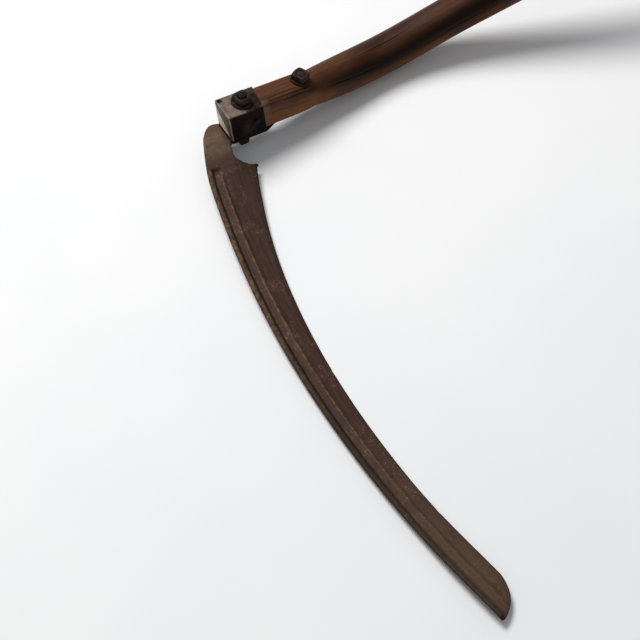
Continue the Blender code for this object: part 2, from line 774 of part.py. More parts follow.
def web_rings():
    rings = []
    for u in web_stops():
        width = edge_offset(u) - bow(u)
        fan = HEEL_FAN * max(1 - u / HEEL_FAN_SPAN, 0.0)
        edge_xy, back_xy = on_blade(u - fan, bow(u) + width), on_blade(u, bow(u))
        low = edge_height(u)
        edge = Vector((edge_xy.x, edge_xy.y, low))
        back = Vector((back_xy.x, back_xy.y, low + width * math.sin(BLADE_TILT)))
        toe = ease((u - THINNING_FROM) / THINNING_SPAN)
        rings.append(blade_section(back, edge, web_profile((edge - back).length, toe)))
    return rings


def make_blade(root, head_matrix, material):
    """Blade, neck, tang and knob in one forging; returns the cutter for the knob's hole."""
    hinge_matrix = head_matrix @ Matrix.Translation((KNOB_AT, TANG_MIDDLE, 0))
    hinge = make_empty("blade_hang_axis", root, hinge_matrix)
    rings = tang_rings(head_matrix) + neck_rings(head_matrix) + web_rings()
    to_hinge = hinge_matrix.inverted()
    bm = bmesh.new()
    bridge_rings(bm, [[to_hinge @ p for p in ring] for ring in rings])
    blade = make_object("blade", bm, hinge, material)
    plate_high = tang_top() + GAP + PLATE_THICKNESS
    knob = rod_bm(KNOB_RADIUS, tang_top() - KNOB_ROOT, plate_high - KNOB_SHORT)
    add_boolean(blade, make_cutter("tang_knob", knob, hinge), "UNION")
    hole = rod_bm(KNOB_RADIUS + GAP, tang_top() - MM, plate_high + GAP)
    return make_cutter("knob_hole", hole, hinge)


# ---------------------------------------------------------------- nibs

def make_nib(root, name, seat_point, seat_direction, wood_radius, materials):
    """One hand grip: a strap round the snath whose rod carries saddle, collar, grip, washer and nut."""
    lean = Matrix.Rotation(NIB_LEAN, 4, "X")
    frame = make_empty(f"{name}_axis", root, frame_at(seat_point, seat_direction) @ lean)
    iron, wood = materials["bolt_iron"], materials["grip_wood"]

    strap_inner = wood_radius + STRAP_CLEARANCE
    strap_outer = strap_inner + STRAP_THICKNESS
    saddle_low = strap_outer - SADDLE_SKIRT
    saddle_high = strap_outer + SADDLE_RISE
    collar_high = saddle_high + GAP + COLLAR_LENGTH
    grip_low = saddle_high + GAP + GRIP_SEAT
    grip_high = grip_low + GRIP_LENGTH
    washer_high = grip_high + GAP + END_WASHER_THICKNESS
    nut_high = washer_high + GAP + END_NUT_HEIGHT

    strap = washer_bm(strap_inner, strap_outer, -STRAP_HALF_WIDTH, STRAP_HALF_WIDTH, STRAP_SIDES)
    strap_obj = make_object(f"{name}_loop", lying(strap), frame, iron)
    rod = rod_bm(ROD_RADIUS, strap_outer - STRAP_THICKNESS / 2, nut_high + ROD_PROUD, ROD_SIDES)
    add_boolean(strap_obj, make_cutter(f"{name}_rod", rod, frame), "UNION")

    hole = ROD_RADIUS + GAP
    saddle = washer_bm(hole, SADDLE_RADIUS, saddle_low, saddle_high)
    saddle_obj = make_object(f"{name}_saddle", saddle, frame, iron)
    along = SADDLE_RADIUS + 2 * MM
    wood_cut = rod_bm(strap_inner, -along, along, STRAP_SIDES)
    add_boolean(saddle_obj, make_cutter(f"{name}_wood_clearance", lying(wood_cut), frame))
    strap_half = STRAP_HALF_WIDTH + GAP
    strap_cut = rod_bm(strap_outer + GAP, -strap_half, strap_half, STRAP_SIDES)
    add_boolean(saddle_obj, make_cutter(f"{name}_strap_clearance", lying(strap_cut), frame))

    inner = GRIP_RADIUS * GRIP_SPIGOT
    collar_outer = inner + COLLAR_SHEET
    collar = turned([
        (inner + GAP, saddle_high + GAP), (collar_outer, saddle_high + GAP),
        (collar_outer + COLLAR_BELL, collar_high - COLLAR_ROLL),
        (collar_outer, collar_high), (inner + GAP, collar_high),
    ])
    make_object(f"{name}_collar", collar, frame, materials["cap_iron"])

    body_low = collar_high + GAP
    span = grip_high - body_low
    profile = [(hole, grip_low), (inner, grip_low), (inner, body_low)]
    for part, swell in GRIP_SWELL:
        profile.append((GRIP_RADIUS * swell, body_low + span * part))
    profile += [(GRIP_RADIUS * GRIP_END, grip_high), (hole, grip_high)]
    make_object(f"{name}_grip", turned(profile), frame, wood)

    washer = washer_bm(hole, END_WASHER_RADIUS, grip_high + GAP, washer_high)
    make_object(f"{name}_washer", washer, frame, iron)
    nut = nut_bm(END_NUT_ACROSS, hole, washer_high + GAP, nut_high, 6)
    make_object(f"{name}_nut", nut, frame, iron)


# ---------------------------------------------------------------- assembly

def stand_on_origin(root):
    """Move the assembly so that its box's bottom centre is the origin."""
    bpy.context.view_layer.update()
    depsgraph = bpy.context.evaluated_depsgraph_get()
    corners = []
    for obj in bpy.data.objects:
        if obj.type == "MESH" and not obj.hide_render:
            evaluated = obj.evaluated_get(depsgraph)
            mesh = evaluated.to_mesh()
            points = np.empty(len(mesh.vertices) * 3)
            mesh.vertices.foreach_get("co", points)
            turn = np.array(obj.matrix_world)
            world = points.reshape(-1, 3) @ turn[:3, :3].T + turn[:3, 3]
            corners += [world.min(axis=0), world.max(axis=0)]
            evaluated.to_mesh_clear()
    low, high = np.min(corners, axis=0), np.max(corners, axis=0)
    root.location = (-(low[0] + high[0]) / 2, -(low[1] + high[1]) / 2, -low[2])
    bpy.context.view_layer.update()


def build():
    clear_scene()
    materials = make_materials()
    stations = centre_line()
    root = make_empty("scythe")
    head_matrix = frame_at(stations[0][1], stations[0][2])
    head = make_empty("head_axis", root, head_matrix)

    snath = make_snath(root, stations, materials["snath_wood"])
    ferrule = make_ferrule(head, materials["cap_iron"])
    plate = make_heel_plate(root, stations, materials["cap_iron"])
    make_loop_bolt(head, materials["bolt_iron"])
    bolt_axis = make_empty("loop_bolt_axis", head, Matrix.Translation((LOOP_BOLT_AT, 0, 0)))
    stack_on(bolt_axis, "loop", FERRULE_HALF[1], LOOP_NUT_TURN, materials["bolt_iron"])

    shank_cut = rod_bm(HOLE_RADIUS, -CUTTER_REACH, CUTTER_REACH)
    shank_hole = make_cutter("loop_bolt_hole", shank_cut, bolt_axis)
    groove = make_cutter("loop_groove", box_bm(*groove_box()), head)
    rear_hole, rear_seat = make_rear_bolt(root, stations, materials["bolt_iron"])
    knob_hole = make_blade(root, head_matrix, materials["blade_iron"])
    nails = [
        make_nail(head, "ferrule_nail_near", -1, materials["bolt_iron"]),
        make_nail(head, "ferrule_nail_far", 1, materials["bolt_iron"]),
    ]

    for cutter in (shank_hole, groove, rear_hole, rear_seat, *nails):
        add_boolean(snath, cutter)
    for cutter in (shank_hole, groove, *nails):
        add_boolean(ferrule, cutter)
    for cutter in (groove, rear_hole, knob_hole):
        add_boolean(plate, cutter)

    for name, knot_values, radius in (
        ("lower_nib", LOWER_SEAT, LOWER_SEAT_RADIUS),
        ("upper_nib", UPPER_SEAT, UPPER_SEAT_RADIUS),
    ):
        start, direction, _ = knot(knot_values, radius)
        middle, _, _ = straight_after((start, direction, radius), SEAT_LENGTH / 2)
        make_nib(root, name, middle, direction, radius, materials)
    stand_on_origin(root)


build()
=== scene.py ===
"""Looks of the scythe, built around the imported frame: worn wood, rusted iron, floor, light and camera."""

import json
import math

import bmesh
import bpy
import numpy as np
from mathutils import Matrix, Vector, noise


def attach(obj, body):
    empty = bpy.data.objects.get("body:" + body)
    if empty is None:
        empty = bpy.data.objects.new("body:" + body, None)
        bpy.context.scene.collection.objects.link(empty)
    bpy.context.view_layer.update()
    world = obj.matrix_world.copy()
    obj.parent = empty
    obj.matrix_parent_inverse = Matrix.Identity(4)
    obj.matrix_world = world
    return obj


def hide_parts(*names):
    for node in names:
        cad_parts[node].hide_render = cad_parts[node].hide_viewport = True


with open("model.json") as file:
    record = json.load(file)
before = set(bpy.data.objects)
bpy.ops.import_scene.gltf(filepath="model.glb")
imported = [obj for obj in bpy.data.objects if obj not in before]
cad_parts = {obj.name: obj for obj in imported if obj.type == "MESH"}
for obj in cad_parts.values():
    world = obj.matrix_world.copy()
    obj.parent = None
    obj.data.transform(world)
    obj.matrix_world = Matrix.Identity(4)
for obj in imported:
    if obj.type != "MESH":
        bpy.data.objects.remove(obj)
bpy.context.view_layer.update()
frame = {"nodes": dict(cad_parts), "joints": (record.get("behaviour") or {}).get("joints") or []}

MM = 0.001
WORLD_UP = Vector((0, 0, 1))
joints = {joint["name"]: joint for joint in frame["joints"]}


# ---------------------------------------------------------------- frame of the squared head

KNOB_AT = 42.0 * MM
TANG_MIDDLE = 0.2 * MM


def frame_at(origin, along, side, upright):
    """Matrix of a frame from its origin and its X, Y and Z axes."""
    return Matrix.Translation(origin) @ Matrix((along, side, upright)).transposed().to_4x4()


def head_frame():
    """Axes of the snath's head, from the hinge that holds the blade's tang under it."""
    hang = joints["blade_hang"]
    upright = Vector(hang["axis"]).normalized()
    heading = Vector((upright.x, upright.y, 0)).normalized()
    side = WORLD_UP.cross(heading)
    along = side.cross(upright)
    origin = Vector(hang["pos_m"]) - along * KNOB_AT - side * TANG_MIDDLE
    return frame_at(origin, along, side, upright)


HEAD = head_frame()
PLAN_SHIFT = Vector((HEAD.translation.x, HEAD.translation.y, 0))


# ---------------------------------------------------------------- camera, floor, light

VIEW_AZIMUTH = math.radians(-27.0)
VIEW_ELEVATION = math.radians(55.0)
VIEW_DISTANCE = 1.9
VIEW_ANGLE = 2 * math.atan(320 / 1900)
VIEW_TARGET = PLAN_SHIFT + Vector((-9.6, -243.9, 0)) * MM
KEY_AZIMUTH = math.radians(-168)
KEY_ELEVATION = math.radians(57)
KEY_DISTANCE = 3.4
KEY_SIZE = 1.75
KEY_POWER = 101.0
WORLD_STRENGTH = 0.33
FLOOR_HALF = 40.0


def toward(azimuth, elevation):
    """Unit vector from the target back towards a viewer or a lamp."""
    level = math.cos(elevation)
    return Vector((math.sin(azimuth) * level, -math.cos(azimuth) * level, math.sin(elevation)))


def new_object(name, data):
    made = bpy.data.objects.new(name, data)
    bpy.context.scene.collection.objects.link(made)
    return made


def aim(obj, place, target):
    obj.location = place
    obj.rotation_euler = (target - place).to_track_quat("-Z", "Y").to_euler()


def add_camera():
    data = bpy.data.cameras.new("view")
    data.sensor_fit = "HORIZONTAL"
    data.angle = VIEW_ANGLE
    data.clip_start = 0.05
    camera = new_object("view", data)
    aim(camera, VIEW_TARGET + toward(VIEW_AZIMUTH, VIEW_ELEVATION) * VIEW_DISTANCE, VIEW_TARGET)
    bpy.context.scene.camera = camera


def add_key_light():
    data = bpy.data.lights.new("key", "AREA")
    data.shape = "DISK"
    data.size = KEY_SIZE
    data.energy = KEY_POWER
    data.color = (1.0, 0.99, 0.975)
    lamp = new_object("key", data)
    aim(lamp, VIEW_TARGET + toward(KEY_AZIMUTH, KEY_ELEVATION) * KEY_DISTANCE, VIEW_TARGET)


def add_world():
    world = bpy.data.worlds.new("studio")
    bpy.context.scene.world = world
    world.use_nodes = True
    background = world.node_tree.nodes["Background"]
    background.inputs["Color"].default_value = (0.96, 0.98, 1.0, 1.0)
    background.inputs["Strength"].default_value = WORLD_STRENGTH


def add_floor():
    bm = bmesh.new()
    sides = ((-1, -1), (1, -1), (1, 1), (-1, 1))
    corners = [VIEW_TARGET + Vector((x * FLOOR_HALF, y * FLOOR_HALF, 0)) for x, y in sides]
    bm.faces.new([bm.verts.new(corner) for corner in corners])
    mesh = bpy.data.meshes.new("floor")
    bm.to_mesh(mesh)
    bm.free()
    floor = new_object("floor", mesh)
    mesh.materials.append(floor_material())


# ---------------------------------------------------------------- shader helpers

class Shader:
    """A material being built: adds nodes and links them in a few words."""

    def __init__(self, name):
        self.material = bpy.data.materials.new(name)
        self.material.use_nodes = True
        self.tree = self.material.node_tree
        self.surface = self.tree.nodes["Principled BSDF"]

    def node(self, kind, **settings):
        made = self.tree.nodes.new(kind)
        for key, value in settings.items():
            setattr(made, key, value)
        return made

    def link(self, source, target):
        self.tree.links.new(source, target)

    def feed(self, socket, value):
        if isinstance(value, bpy.types.NodeSocket):
            self.link(value, socket)
        else:
            socket.default_value = value

    def attribute(self, name, output="Vector"):
        return self.node("ShaderNodeAttribute", attribute_name=name).outputs[output]

    def mark(self, name):
        """The value that a piece's mesh carries under this name, or 0 where it carries none."""
        return self.attribute(name, "Fac")

    def stretch(self, vector, scale):
        made = self.node("ShaderNodeVectorMath", operation="MULTIPLY")
        self.link(vector, made.inputs[0])
        made.inputs[1].default_value = scale
        return made.outputs[0]

    def noise(self, vector, scale, detail=4.0, roughness=0.55, distortion=0.0):
        """Noise at one scale, or at a scale for each axis."""
        if isinstance(scale, tuple):
            vector, scale = self.stretch(vector, scale), 1.0
        made = self.node("ShaderNodeTexNoise")
        self.link(vector, made.inputs["Vector"])
        made.inputs["Scale"].default_value = scale
        made.inputs["Detail"].default_value = detail
        made.inputs["Roughness"].default_value = roughness
        made.inputs["Distortion"].default_value = distortion
        return made.outputs["Fac"]

    def cells(self, vector, scale, feature="F1"):
        made = self.node("ShaderNodeTexVoronoi", feature=feature)
        self.link(vector, made.inputs["Vector"])
        made.inputs["Scale"].default_value = scale
        return made.outputs["Distance"]

    def ramp(self, value, low, high, out_low=0.0, out_high=1.0):
        made = self.node("ShaderNodeMapRange", clamp=True, interpolation_type="SMOOTHSTEP")
        self.feed(made.inputs["Value"], value)
        made.inputs["From Min"].default_value = low
        made.inputs["From Max"].default_value = high
        made.inputs["To Min"].default_value = out_low
        made.inputs["To Max"].default_value = out_high
        return made.outputs["Result"]

    def math(self, operation, first, second=0.0):
        made = self.node("ShaderNodeMath", operation=operation)
        self.feed(made.inputs[0], first)
        self.feed(made.inputs[1], second)
        return made.outputs[0]

    def times(self, first, second):
        return self.math("MULTIPLY", first, second)

    def mix(self, factor, first, second):
        made = self.node("ShaderNodeMix", data_type="RGBA")
        self.feed(made.inputs["Factor"], factor)
        for socket, colour in ((made.inputs["A"], first), (made.inputs["B"], second)):
            self.feed(socket, colour if isinstance(colour, bpy.types.NodeSocket) else (*colour, 1.0))
        return made.outputs["Result"]

    def bump(self, height, distance, strength=1.0, under=None):
        made = self.node("ShaderNodeBump")
        made.inputs["Strength"].default_value = strength
        made.inputs["Distance"].default_value = distance
        self.link(height, made.inputs["Height"])
        if under is not None:
            self.link(under, made.inputs["Normal"])
        return made.outputs["Normal"]

    def finish(self, colour, roughness, normal, metallic=0.0, specular=0.5):
        self.feed(self.surface.inputs["Base Color"], colour)
        self.feed(self.surface.inputs["Roughness"], roughness)
        self.feed(self.surface.inputs["Normal"], normal)
        self.surface.inputs["Metallic"].default_value = metallic
        self.surface.inputs["Specular IOR Level"].default_value = specular
        return self.material


def srgb(red, green, blue):
    """A colour given as 0-255 display values, as the linear values that shaders use."""
    linear = []
    for value in (red, green, blue):
        value /= 255
        linear.append(value / 12.92 if value <= 0.04045 else ((value + 0.055) / 1.055) ** 2.4)
    return tuple(linear)


# ---------------------------------------------------------------- materials

def floor_material():
    shader = Shader("pale_floor")
    place = shader.node("ShaderNodeTexCoord").outputs["Object"]
    cloud = shader.noise(place, 2.2, 3.0)
    fine = shader.noise(place, 55.0, 4.0)
    colour = shader.mix(shader.ramp(cloud, 0.3, 0.7), srgb(240, 241, 243), srgb(246, 246, 247))
    return shader.finish(colour, 0.85, shader.bump(fine, 0.0004, 0.3), specular=0.2)


def wood_material(name, dark, mid, light, red, side):
    """Old handled wood: long grain in the direction of growth, dark grime in patches, small checks; a
    painted shade band along the near side and painted floor bounce light low on it.
    """
    shader = Shader(name)
    grain = shader.attribute("grain")
    fibre = shader.noise(grain, (22.0, 300.0, 300.0), 5.0, 0.6, 0.2)
    pores = shader.noise(grain, (55.0, 1500.0, 1500.0), 3.0, 0.6)
    figure = shader.noise(grain, (5.0, 48.0, 48.0), 3.0, 0.55, 0.9)
    grime = shader.noise(grain, (9.0, 26.0, 26.0), 4.0, 0.6)
    colour = shader.mix(shader.ramp(fibre, 0.30, 0.74), mid, light)
    colour = shader.mix(shader.ramp(figure, 0.34, 0.66, 0.0, 0.6), colour, red)
    # Painted bounce light: the lower near side is made lighter and redder, as if lit from the floor.
    colour = shader.mix(shader.mark("lower"), colour, side)
    colour = shader.mix(shader.ramp(grime, 0.46, 0.68, 0.0, 0.6), colour, dark)
    # Painted shade: a dark band high on the near side, where the wood turns from the lamp, over a general
    # darkening past the head.
    colour = shader.mix(shader.mark("handled"), colour, dark)
    colour = shader.mix(shader.ramp(pores, 0.56, 0.70, 0.0, 0.6), colour, dark)
    colour = shader.mix(shader.mark("checks"), colour, tuple(0.35 * c for c in dark))
    pale = shader.times(shader.mark("pale"), shader.ramp(fibre, 0.25, 0.6, 0.45, 1.0))
    colour = shader.mix(pale, colour, srgb(104, 82, 60))
    roughness = shader.ramp(grime, 0.35, 0.7, 0.62, 0.42)
    normal = shader.bump(pores, 0.00025, 0.8)
    normal = shader.bump(fibre, 0.0005, 0.7, normal)
    normal = shader.bump(figure, 0.0006, 0.35, normal)
    return shader.finish(colour, roughness, normal, specular=0.10)


def iron_material(name, dark, mid, light, rust, bare_and_lit, grain_size=1.0, roughness=(0.48, 0.72)):
    """Old iron: brown patina in patches, orange rust specks, pits, pale bare metal where rubbed, the same
    pale as painted light on a lit face, and painted shade and stain where marked.
    """
    shader = Shader(name)
    place = shader.node("ShaderNodeTexCoord").outputs["Object"]
    patches = shader.noise(place, 38.0 * grain_size, 5.0, 0.6, 0.4)
    mottle = shader.noise(place, 150.0 * grain_size, 5.0, 0.65)
    specks = shader.noise(place, 420.0 * grain_size, 3.0, 0.6)
    pits = shader.cells(place, 330.0 * grain_size)
    colour = shader.mix(shader.ramp(patches, 0.36, 0.64), dark, mid)
    colour = shader.mix(shader.ramp(mottle, 0.50, 0.72, 0.0, 0.8), colour, light)
    rusty = shader.times(shader.ramp(specks, 0.56, 0.68), shader.ramp(patches, 0.40, 0.62))
    colour = shader.mix(shader.times(rusty, 0.75), colour, rust)
    # Pale bare colour: real wear on folds and lips, and painted light over the cap's end face, which faces
    # the lamp.
    rubbed = shader.times(shader.mark("rubbed"), shader.ramp(mottle, 0.25, 0.55, 0.35, 1.0))
    colour = shader.mix(rubbed, colour, bare_and_lit)
    # Painted shade on the cap's near wall, fold gap, mouth and lip crease, plus a darkened patch by the
    # bolt: partly stain, partly painted nut shadow.
    soot = shader.mark("soot")
    colour = shader.mix(soot, colour, tuple(0.12 * c for c in dark))
    rough = shader.math("MAXIMUM", shader.ramp(mottle, 0.3, 0.7, *roughness), soot)
    normal = shader.bump(shader.ramp(pits, 0.0, 0.35), 0.0002, 0.5)
    normal = shader.bump(mottle, 0.0007, 0.6, normal)
    normal = shader.bump(patches, 0.0012, 0.4, normal)
    return shader.finish(colour, rough, normal, metallic=0.15, specular=0.12)


def blade_material():
    """Blade forging: scaly brown back rib and bead with painted highlights on their crests, painted shade
    in the groove, along the edge and at the toe's end, darker streaked web, smoother neck.
    """
    shader = Shader("blade_patina")
    flow = shader.attribute("flow")
    place = shader.node("ShaderNodeTexCoord").outputs["Object"]
    streaks = shader.noise(flow, (22.0, 420.0, 60.0), 5.0, 0.6)
    patches = shader.noise(place, 26.0, 5.0, 0.6, 0.3)
    mottle = shader.noise(place, 190.0, 5.0, 0.65)
    specks = shader.noise(place, 520.0, 3.0, 0.6)
    pits = shader.cells(place, 260.0)
    web = shader.mix(shader.ramp(streaks, 0.30, 0.74), srgb(52, 34, 27), srgb(66, 46, 36))
    web = shader.mix(shader.times(shader.mark("toe"), 0.85), web, srgb(82, 62, 49))
    web = shader.mix(shader.ramp(patches, 0.5, 0.72, 0.0, 0.5), web, srgb(76, 56, 46))
    # Lighter rib, band and bead: partly scaly patina, partly painted highlight where their crests face the
    # lamp.
    ridge_colour = shader.mix(shader.ramp(mottle, 0.40, 0.66), srgb(66, 46, 34), srgb(112, 86, 62))
    ridge = shader.times(shader.mark("ridge"), shader.ramp(mottle, 0.25, 0.5, 0.45, 0.95))
    colour = shader.mix(ridge, web, ridge_colour)
    neck_colour = shader.mix(shader.ramp(patches, 0.4, 0.6), srgb(84, 64, 51), srgb(94, 74, 59))
    neck_colour = shader.mix(shader.ramp(mottle, 0.52, 0.72, 0.0, 0.45), neck_colour, srgb(112, 90, 70))
    neck_colour = shader.mix(shader.mark("heel"), neck_colour, srgb(60, 43, 36))
    colour = shader.mix(shader.mark("neck"), colour, neck_colour)
    blotches = shader.noise(place, 85.0, 6.0, 0.7)
    colour = shader.mix(shader.ramp(blotches, 0.52, 0.66, 0.0, 0.45), colour, srgb(46, 31, 24))
    wander = shader.noise(place, 75.0, 3.0, 0.6)
    off_line = shader.math("ABSOLUTE", shader.math("SUBTRACT", wander, 0.5))
    scratch = shader.ramp(off_line, 0.0, 0.008, 0.55, 0.0)
    scratch = shader.times(scratch, shader.ramp(patches, 0.5, 0.6))
    colour = shader.mix(scratch, colour, srgb(150, 124, 104))
    rusty = shader.ramp(patches, 0.42, 0.6, 0.2, 1.0)
    rusty = shader.times(shader.ramp(specks, 0.60, 0.70), rusty)
    colour = shader.mix(shader.times(rusty, 0.5), colour, srgb(128, 82, 50))
    # Painted shade in the groove, along the thin cutting edge and at the toe's end; the rib also darkens
    # towards the toe.
    colour = shader.mix(shader.mark("soot"), colour, srgb(16, 8, 5))
    rough = shader.ramp(mottle, 0.3, 0.7, 0.46, 0.70)
    normal = shader.bump(shader.ramp(pits, 0.0, 0.3), 0.00025, 0.5)
    normal = shader.bump(mottle, 0.0006, 0.55, normal)
    normal = shader.bump(streaks, 0.0003, 0.4, normal)
    return shader.finish(colour, rough, normal, metallic=0.1, specular=0.14)


MATERIALS = {
    # The last colour of each wood is painted floor bounce light for its lower near side.
    "snath_wood": wood_material(
        "snath_wood_old", srgb(20, 8, 3), srgb(80, 48, 31), srgb(98, 64, 42), srgb(84, 44, 27),
        srgb(124, 76, 38)),
    "grip_wood": wood_material(
        "grip_wood_old", srgb(44, 27, 19), srgb(86, 58, 40), srgb(112, 80, 56), srgb(88, 50, 34),
        srgb(80, 52, 34)),
    # cap_iron's last colour is pale bare iron, also used as painted light on the cap's end.
    "cap_iron": iron_material(
        "cap_iron_old", srgb(50, 36, 27), srgb(82, 60, 46), srgb(112, 88, 70), srgb(124, 78, 46),
        srgb(222, 208, 197)),
    "bolt_iron": iron_material(
        "bolt_iron_old", srgb(24, 18, 16), srgb(42, 33, 29), srgb(74, 60, 51), srgb(96, 60, 38),
        srgb(130, 120, 114), 1.3),
    # Near-black iron: painted shade for the heel plate and loop bolt, which sit in shadow under the head.
    "shade_black_iron": iron_material(
        "shade_black_iron_old", srgb(12, 9, 8), srgb(24, 18, 16), srgb(42, 34, 29), srgb(60, 38, 24),
        srgb(90, 82, 78), 1.3),
    "blade_iron": blade_material(),
}


# ---------------------------------------------------------------- meshes

SHARP_ANGLE = math.radians(42)


def ease(t):
    t = min(max(t, 0.0), 1.0)
    return t * t * (3 - 2 * t)


def lump(place, per_metre, seed=0.0):
    """Smooth noise from -1 to 1; per_metre gives its pitch along each axis."""
    x, y, z = (value * pitch for value, pitch in zip(place, per_metre))
    return noise.noise(Vector((x + seed, y, z)))


def skin(rings, closed=False):
    """Points and faces over a list of equal rings; an open skin is capped at both ends."""
    count, size = len(rings), len(rings[0])
    faces = []
    for r in range(count if closed else count - 1):
        here, there = r * size, (r + 1) % count * size
        for k in range(size):
            j = (k + 1) % size
            faces.append((here + k, here + j, there + j, there + k))
    if not closed:
        faces += [tuple(range(size)), tuple(range((count - 1) * size, count * size))]
    return [point for ring in rings for point in ring], faces


def joined(*skins):
    """Several skins as one list of points and faces."""
    points, faces = [], []
    for more_points, more_faces in skins:
        first = len(points)
        points += more_points
        faces += [tuple(first + i for i in face) for face in more_faces]
    return points, faces


class Marks(dict):
    """Values at each point of a mesh, in lists by name, which its material reads as attributes."""

    def add(self, **values):
        for key, value in values.items():
            self.setdefault(key, []).append(value)


def make_mesh(name, points, faces, marks):
    bm = bmesh.new()
    verts = [bm.verts.new(point) for point in points]
    for face in faces:
        bm.faces.new([verts[i] for i in face])
    bmesh.ops.recalc_face_normals(bm, faces=bm.faces[:])
    mesh = bpy.data.meshes.new(name)
    bm.to_mesh(mesh)
    bm.free()
    for key, values in marks.items():
        values = np.asarray(values, dtype=np.float32)
        kind, field = ("FLOAT_VECTOR", "vector") if values.ndim == 2 else ("FLOAT", "value")
        mesh.attributes.new(key, kind, "POINT").data.foreach_set(field, values.ravel())
    mesh.shade_smooth()
    mesh.set_sharp_from_angle(angle=SHARP_ANGLE)
    return mesh


def add_piece(name, points_faces, body, nodes, material_slot, look=None, marks=None):
    """Make a piece that stands for its CAD nodes and rides on their body."""
    mesh = make_mesh(name, *points_faces, marks or {})
    piece = new_object(name, mesh)
    mesh.materials.append(MATERIALS[look or material_slot])
    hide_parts(*nodes)
    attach(piece, body)


# ---------------------------------------------------------------- snath

HEAD_STRAIGHT = 52.0                 # millimetres, as in the knots
SEAT_LENGTH = 112.0
END_PITCH = -32.0
END_RADIUS = 18.0
# Knots of the centre line: x, y, z (mm), heading, pitch (degrees), radius (mm), straight length (mm).
KNOTS = (
    (0.0, 0.0, 45.5, 4.0, -5.0, 22.0, HEAD_STRAIGHT),
    (195.0, 26.0, 22.0, 7.0, 0.0, 22.0, 0.0),
    (316.0, 24.5, 52.0, -9.0, 21.0, 22.0, 0.0),
    (600.0, -18.0, 152.0, -6.0, 12.0, 19.5, SEAT_LENGTH),
    (1035.0, -36.0, 160.0, 5.0, -18.0, 18.5, SEAT_LENGTH),
    (1350.0, -6.0, END_RADIUS * math.cos(math.radians(END_PITCH)), 7.0, END_PITCH, END_RADIUS, 0.0),
)
TENON_HALF = (13.7 * MM, 16.9 * MM)
SHOULDER_HALF = (15.4 * MM, 19.2 * MM)
SHOULDER_AT = 46.3 * MM
HEAD_POWER = 7.0
SHAFT_POWER = 2.0
CORNER_LOSS = 1.35
ROUNDED_BY = 165.0 * MM
REAR_BOLT_AT = 93.0 * MM
REAR_SEAT_DEPTH = 1.2 * MM
REAR_SEAT_RADIUS = 11.0 * MM
NEAR_SEAT = REAR_SEAT_RADIUS + 2 * MM
IN_PHOTO = 0.38                      # of the wood, from its head
RING_POINTS = 168
FERRULE_INSIDE = (14.0 * MM, 17.3 * MM)
FERRULE_LENGTH = 43.0 * MM
NEAR_LOW_MOUTH = 46.0 * MM
NEAR_HIGH_MOUTH = 39.5 * MM
GAP = 0.3 * MM                       # between pieces that touch
# Where the painted shade band lies round the wood, and its half width.
DARK_BAND_AT = 147                   # degrees round the wood
DARK_BAND_HALF = 32
TOOL_MARK = 0.28 * MM
FINE_MARK = 0.10 * MM


def mouth_at(y, z):
    """How far along the head the cap's open edge reaches, between its four corners."""
    far = min(max((y / FERRULE_INSIDE[0] + 1) / 2, 0.0), 1.0)
    high = min(max((z / FERRULE_INSIDE[1] + 1) / 2, 0.0), 1.0)
    near_edge = NEAR_LOW_MOUTH * (1 - high) + NEAR_HIGH_MOUTH * high
    return near_edge * (1 - far) + FERRULE_LENGTH * far


def direction_of(heading, pitch):
    h, p = math.radians(heading), math.radians(pitch)
    return Vector((math.cos(h) * math.cos(p), math.sin(h) * math.cos(p), math.sin(p)))


def hermite(p0, d0, p1, d1, t):
    """Point and direction at t (0 to 1) on the smooth curve between two knots."""
    span = (p1 - p0).length
    m0, m1 = d0 * span, d1 * span
    point = (
        p0 * (2 * t**3 - 3 * t**2 + 1) + m0 * (t**3 - 2 * t**2 + t)
        + p1 * (-2 * t**3 + 3 * t**2) + m1 * (t**3 - t**2)
    )
    slope = (
        p0 * (6 * t**2 - 6 * t) + m0 * (3 * t**2 - 4 * t + 1)
        + p1 * (-6 * t**2 + 6 * t) + m1 * (3 * t**2 - 2 * t)
    )
    return point, slope.normalized()


def centre_line():
    """Samples (distance, point, direction, radius) about a millimetre apart along the whole snath."""
    ends = []
    for x, y, z, heading, pitch, radius, run in KNOTS:
        point, direction = PLAN_SHIFT + Vector((x, y, z)) * MM, direction_of(heading, pitch)
        ends.append((point, direction, radius * MM))
        if run:
            ends.append((point + direction * run * MM, direction, radius * MM))
    samples = [(0.0, *ends[0])]
    for (p0, d0, r0), (p1, d1, r1) in zip(ends[:-1], ends[1:]):
        steps = round((p1 - p0).length / MM)
        for i in range(1, steps + 1):
            point, direction = hermite(p0, d0, p1, d1, i / steps)
            travelled = samples[-1][0] + (point - samples[-1][1]).length
            samples.append((travelled, point, direction, r0 + (r1 - r0) * ease(i / steps)))
    return samples


LINE = centre_line()
LINE_LENGTH = LINE[-1][0]
LINE_DISTANCES = [sample[0] for sample in LINE]


def station(distance):
    """Frame of the cross-section (X along, Y left, Z upright) and radius at a distance from the head."""
    j = min(max(int(np.searchsorted(LINE_DISTANCES, distance)), 1), len(LINE) - 1)
    low, high = LINE[j - 1], LINE[j]
    t = (distance - low[0]) / (high[0] - low[0])
    direction = low[2].lerp(high[2], t).normalized()
    side = WORLD_UP.cross(direction).normalized()
    matrix = frame_at(low[1].lerp(high[1], t), direction, side, direction.cross(side))
    return matrix, low[3] + (high[3] - low[3]) * t


